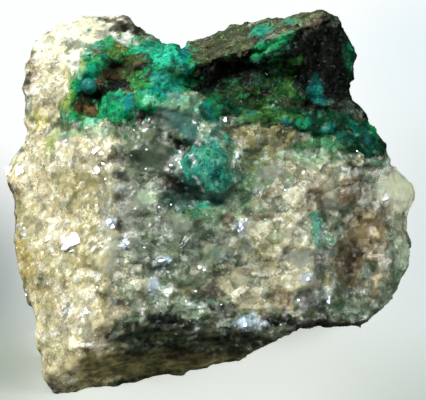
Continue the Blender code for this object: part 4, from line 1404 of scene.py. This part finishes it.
def clearSet(group):
    for thing in list(group.objects):
        bpy.data.objects.remove(thing)
    bpy.data.collections.remove(group)

weathering = {
    "Facet Size": 2.1, "Facet Lean": 0.26, "Grain Size": 0.95, "Grain Lean": 0.32,
    "Bead Size": 1.1, "Bead Height": 0.2,
}

stone = weldedCopy(rock, "stone_skin")
regrid(stone)
carve(stone.data)
regrid(stone, skin["easing"])
print("skin has", len(stone.data.vertices), "points")
paint(stone.data)
applyTree(stone, weatheringTree(), {**weathering, "Quartz": quartzSkin, "Crust": crustSkin, "Ore": oreSkin})
liftToFloor(stone.data)
print("skin painted and weathered")

scatters = {
    "quartz_blocks_front": {
        "shapes": "blocks", "mask": "blocks", "share": 1.0, "spacing": 2.4, "small": 1.2, "large": 2.4,
        "sink": 0.40, "lean": 0.2, "seed": 15, "finish": quartzSugar, "slot": "quartz_matrix"},
    "quartz_crystals_front": {
        "shapes": "blocks", "mask": "crystals", "share": 1.0, "spacing": 0.8, "small": 0.6, "large": 1.4,
        "sink": 0.40, "lean": 0.4, "seed": 5, "finish": quartzSugar, "slot": "quartz_matrix"},
    "quartz_crystals_back": {
        "shapes": "blocks", "mask": "sugar", "share": 0.0, "spacing": 1.0, "small": 0.8, "large": 2.4,
        "sink": 0.36, "lean": 0.5, "seed": 6, "finish": quartzSugar, "slot": "quartz_matrix"},
    "quartz_sugar_front": {
        "shapes": "grains", "mask": "sugar", "share": 1.0, "spacing": 0.44, "small": 0.15, "large": 0.5,
        "sink": 0.22, "lean": 0.7, "seed": 7, "finish": quartzSugar, "slot": "quartz_matrix"},
    "quartz_sugar_back": {
        "shapes": "grains", "mask": "sugar", "share": 0.0, "spacing": 0.8, "small": 0.3, "large": 0.8,
        "sink": 0.25, "lean": 0.7, "seed": 17, "finish": quartzSugar, "slot": "quartz_matrix"},
    "crust_beads": {
        "shapes": "beads", "mask": "beads", "share": None, "spacing": 0.38, "small": 0.22, "large": 0.55,
        "sink": 0.42, "lean": 3.1, "seed": 8, "finish": crustBeads, "slot": "chrysocolla_crust"},
    "ore_chips": {
        "shapes": "chips", "mask": "chips", "share": None, "spacing": 0.7, "small": 0.4, "large": 1.5,
        "sink": 0.14, "lean": 0.35, "seed": 9, "finish": oreChips, "slot": "copper_ore"},
}

sets = {
    "grains": shapeSet("grains", [brokenGrain(f"grain{n}", 100 + n, 14, 0.8, 0.3) for n in range(8)]),
    "blocks": shapeSet("blocks", [brokenGrain(f"block{n}", 200 + n, 14, 0.8, 0.34) for n in range(8)]),
    "beads": shapeSet("beads", [roundBead(f"bead{n}", 300 + n) for n in range(4)]),
    "chips": shapeSet("chips", [brokenGrain(f"chip{n}", 400 + n, 10, 0.5, 0.16) for n in range(6)]),
}
scatter = scatterTree()
pieces = [stone]
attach(stone, "root")
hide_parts("chrysocolla_rock")
for name, look in scatters.items():
    piece = bpy.data.objects.new(name, stone.data.copy())
    bpy.context.scene.collection.objects.link(piece)
    share = look["share"]
    applyTree(piece, scatter, {
        "Shapes": sets[look["shapes"]], "Mask": look["mask"], "Spacing": look["spacing"],
        "Side": look["mask"] if share is None else "front", "Side Share": 1.0 if share is None else share,
        "Smallest": look["small"], "Largest": look["large"], "Sink": look["sink"], "Seed": look["seed"],
        "Lean": look["lean"], "Material": look["finish"]})
    liftToFloor(piece.data)
    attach(piece, "root")
    pieces.append(piece)
    print(name, "has", sum(len(p.vertices) - 2 for p in piece.data.polygons), "triangles")
for group in sets.values():
    clearSet(group)

# Cleavage faces that catch the light.
glints = {
    # the largest by their corners, in steps
    "shards": [
        [(61, 241), (62, 236), (66, 232), (70, 233), (75, 231), (78, 236), (81, 242), (76, 244), (70, 246),
         (66, 249), (61, 249), (64, 244)],
        [(70, 249), (76, 248), (74, 251), (69, 252)],
        [(46, 236), (57, 234), (54, 238), (45, 242)],
        [(5, 167), (12, 166), (13, 174), (6, 175)], [(15, 166), (24, 166), (24, 173), (16, 175)],
        [(91, 152), (97, 147), (102, 146), (98, 150), (94, 154)],
        [(100, 152), (106, 149), (104, 154), (99, 155)],
        [(94, 168), (100, 163), (103, 168), (97, 174)], [(85, 306), (88, 305), (88, 313), (84, 314)],
        [(196, 264), (202, 267), (199, 269)], [(222, 115), (226, 116), (226, 121), (223, 122)],
        [(380, 192), (387, 191), (389, 199), (383, 201)], [(323, 229), (326, 228), (327, 232), (324, 233)],
    ],
    "big": [
        (28, 143, 2, 2), (103, 163, 2, 2), (94, 173, 2, 1), (24, 228, 2, 2), (26, 294, 1, 3),
        (83, 320, 2, 2), (195, 291, 2, 2), (388, 292, 3, 2), (176, 160, 2, 1), (171, 165, 2, 1),
        (181, 167, 1, 2), (179, 162, 1, 1), (204, 270, 3, 1),
    ],
    "blue": [
        (109, 221, 4, 4), (112, 226, 3, 3), (127, 243, 3, 3), (240, 226, 4, 6), (246, 220, 2, 3),
        (160, 260, 5, 2), (307, 279, 3, 3), (245, 325, 3, 2), (328, 300, 2, 6), (266, 73, 2, 2),
        (295, 76, 2, 2), (236, 156, 3, 3),
    ],
    "tilt": 4.0,  # degrees that faces stray from the shared cleavage
    "small": 30,
    "smallBlue": 20,
    "smallSize": (0.06, 0.15),
    "smallFacing": 0.55,  # how squarely the skin under a small one has to face along the cleavage
    "spotArea": 6,  # square steps of a spot to each of its plates
    "spotStray": 0.6,
    "firstSize": 0.8,
    "otherSizes": (0.3, 0.6),
    "smallAcross": (8, 405),
    "smallDown": (130, 345),
    "thickness": 0.22,
    "flare": 1.1,  # how much wider a plate is at its root
    "proud": 0.05,
    # the white and blue base colours are partly painted highlight and painted bluish reflection
    "whiteColour": (0.86, 0.86, 0.84),
    "whiteRoughness": 0.12,
    "blueColour": (0.60, 0.66, 0.80),
    "blueRoughness": 0.28,
}
keyWay = (Vector(stage["keyPlace"]) - aim).normalized()
cleavage = (keyWay + eyeWay).normalized()
stoneTree = BVHTree.FromPolygons([v.co.copy() for v in stone.data.vertices],
                                 [tuple(p.vertices) for p in stone.data.polygons])


def underEye(x, y):
    # the point of the stone that the eye in front sees at these steps
    ahead = toWorld((face["aim"][0] + (x - face["aimStep"][0]) * face["step"], face["aim"][1],
                     face["aim"][2] - (y - face["aimStep"][1]) * face["step"]))
    return stoneTree.ray_cast(eyePlace, (ahead - eyePlace).normalized())


def addPlate(work, rng, where, outline):
    # a thin flake on the shared cleavage; the eye in front sees it with that outline
    side, up = Vector((1, 0, 0)), turnToWorld((0, 0, 1))
    stray = [math.radians(rng.gauss(0, glints["tilt"])) for _ in range(2)]
    normal = (cleavage + side * stray[0] + up * stray[1]).normalized()
    rings = []
    for depth, wide in ((0, 1), (glints["thickness"] * mm, glints["flare"])):
        ring = []
        for across, high in outline:
            flat = (side * across + up * high) * wide
            slide = eyeWay * flat.dot(normal) / eyeWay.dot(normal)
            ring.append(work.verts.new(where - normal * depth + flat - slide))
        rings.append(ring)
    work.faces.new(rings[0])
    work.faces.new(rings[1][::-1])
    for k in range(len(outline)):
        n = (k + 1) % len(outline)
        work.faces.new((rings[0][n], rings[0][k], rings[1][k], rings[1][n]))


def brokenOutline(rng, halfWide, halfHigh):
    count = rng.randint(4, 7)
    turns = [math.tau * (k + rng.uniform(-0.3, 0.3)) / count for k in range(count)]
    return [(math.cos(a) * halfWide * r, math.sin(a) * halfHigh * r)
            for a, r in ((a, rng.uniform(0.6, 1.2)) for a in turns)]


def glintFinish(name, colour, roughness):
    # fresh cleavage: bright, glassy and a little pearly; the pale base colour is partly a painted highlight,
    # the rest of the glint is the lamp's reflection
    material, tree, shader = newMaterial(name)
    uneven = useGroup(tree, gritGroup, Size=0.5, Swing=0.15, Seed=33.0)["Shade"]
    feed(tree, shader.inputs, {
        "Base Color": scaled(tree, colour, uneven),
        "Roughness": spread(tree, uneven, 0.6, 1.4, roughness, roughness * 1.8),
        "Specular IOR Level": 0.8,
    })
    return material


def addShards(work, rng, shards):
    step = face["step"] * mm
    for shard in shards:
        x, y = (sum(corner) / len(shard) for corner in zip(*shard))
        place = underEye(x, y)[0] + eyeWay * glints["proud"] * mm
        addPlate(work, rng, place, [((px - x) * step, (y - py) * step) for px, py in shard])


def addSpots(work, rng, spots):
    step = face["step"] * mm
    for x, y, halfWide, halfHigh in spots:
        for n in range(max(1, round(halfWide * halfHigh / glints["spotArea"]))):
            away = glints["spotStray"] if n else 0.0
            across, down = x + rng.uniform(-away, away) * halfWide, y + rng.uniform(-away, away) * halfHigh
            place = underEye(across, down)[0]
            if place is not None:
                size = step * (rng.uniform(*glints["otherSizes"]) if n else glints["firstSize"])
                addPlate(work, rng, place + eyeWay * glints["proud"] * mm,
                         brokenOutline(rng, halfWide * size, halfHigh * size))


def addSmall(work, rng, count):
    # the smallest, only where the skin already faces along the cleavage
    for _ in range(count):
        place, normal = underEye(rng.uniform(*glints["smallAcross"]), rng.uniform(*glints["smallDown"]))[:2]
        if place is not None and normal.dot(cleavage) > glints["smallFacing"]:
            half = rng.uniform(*glints["smallSize"]) * mm
            addPlate(work, rng, place + normal * glints["proud"] * mm,
                     brokenOutline(rng, half, half * rng.uniform(0.5, 1)))


def glintPiece(name, shards, spots, small, finish, seed):
    rng = random.Random(seed)
    work = bmesh.new()
    addShards(work, rng, shards)
    addSpots(work, rng, spots)
    addSmall(work, rng, small)
    bmesh.ops.recalc_face_normals(work, faces=work.faces)
    piece = addThing(name, meshOf(work, name))
    piece.data.materials.append(finish)
    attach(piece, "root")
    pieces.append(piece)


whiteGlint = glintFinish("whiteGlint", glints["whiteColour"], glints["whiteRoughness"])
glintPiece("white_glints", glints["shards"], glints["big"], glints["small"], whiteGlint, 71)
blueGlint = glintFinish("blueGlint", glints["blueColour"], glints["blueRoughness"])
glintPiece("blue_glints", [], glints["blue"], glints["smallBlue"], blueGlint, 72)
print("glints set")

# One smooth blue-green ball beside the pocket.
ball = {"place": (89, 85), "radius": 1.05, "sunk": 0.5, "lumps": 0.12, "proud": 0.1, "colour": (6, 100, 92)}


def ballFinish():
    material, tree, shader = newMaterial("blueBall")
    uneven = useGroup(tree, gritGroup, Size=0.5, Swing=0.5, Seed=44.0)["Shade"]
    colour = scaled(tree, rgb(*ball["colour"])[:3], uneven)
    pale = product(tree, fleckMask(tree, 0.7, 0.34, 0.1, 45.0), 0.35)
    bump = put(tree, "ShaderNodeBump", {"Strength": 0.5, "Distance": 0.1 * mm, "Height": uneven})
    feed(tree, shader.inputs, {
        "Base Color": mixColour(tree, pale, colour, rgb(*pigments["cyan"])),
        "Normal": bump.outputs["Normal"],
        "Roughness": 0.6,
        "Specular IOR Level": 0.3,
        **lightThrough(0.4, (0.3, 1.0, 1.0), 0.4),
    })
    return material


def ballPiece():
    centre = underEye(*ball["place"])[0] + eyeWay * (ball["proud"] - ball["radius"] * ball["sunk"]) * mm
    work = bmesh.new()
    bmesh.ops.create_icosphere(work, subdivisions=4, radius=1.0)
    for v in work.verts:
        bulge = 1 + ball["lumps"] * noise.fractal(v.co * 1.4, 1.0, 2.0, 2)
        v.co = centre + v.co * bulge * ball["radius"] * mm
    for f in work.faces:
        f.smooth = True
    piece = addThing("blue_ball", meshOf(work, "blue_ball"))
    piece.data.materials.append(ballFinish())
    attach(piece, "root")
    pieces.append(piece)


ballPiece()
print("ball set")

# the key and rear lights fall on the stone alone, so that the card under it has no hard shadow
lit = bpy.data.collections.new("lit")
for piece in pieces:
    lit.objects.link(piece)
for name in ("key", "rear"):
    bpy.data.objects[name].light_linking.receiver_collection = lit
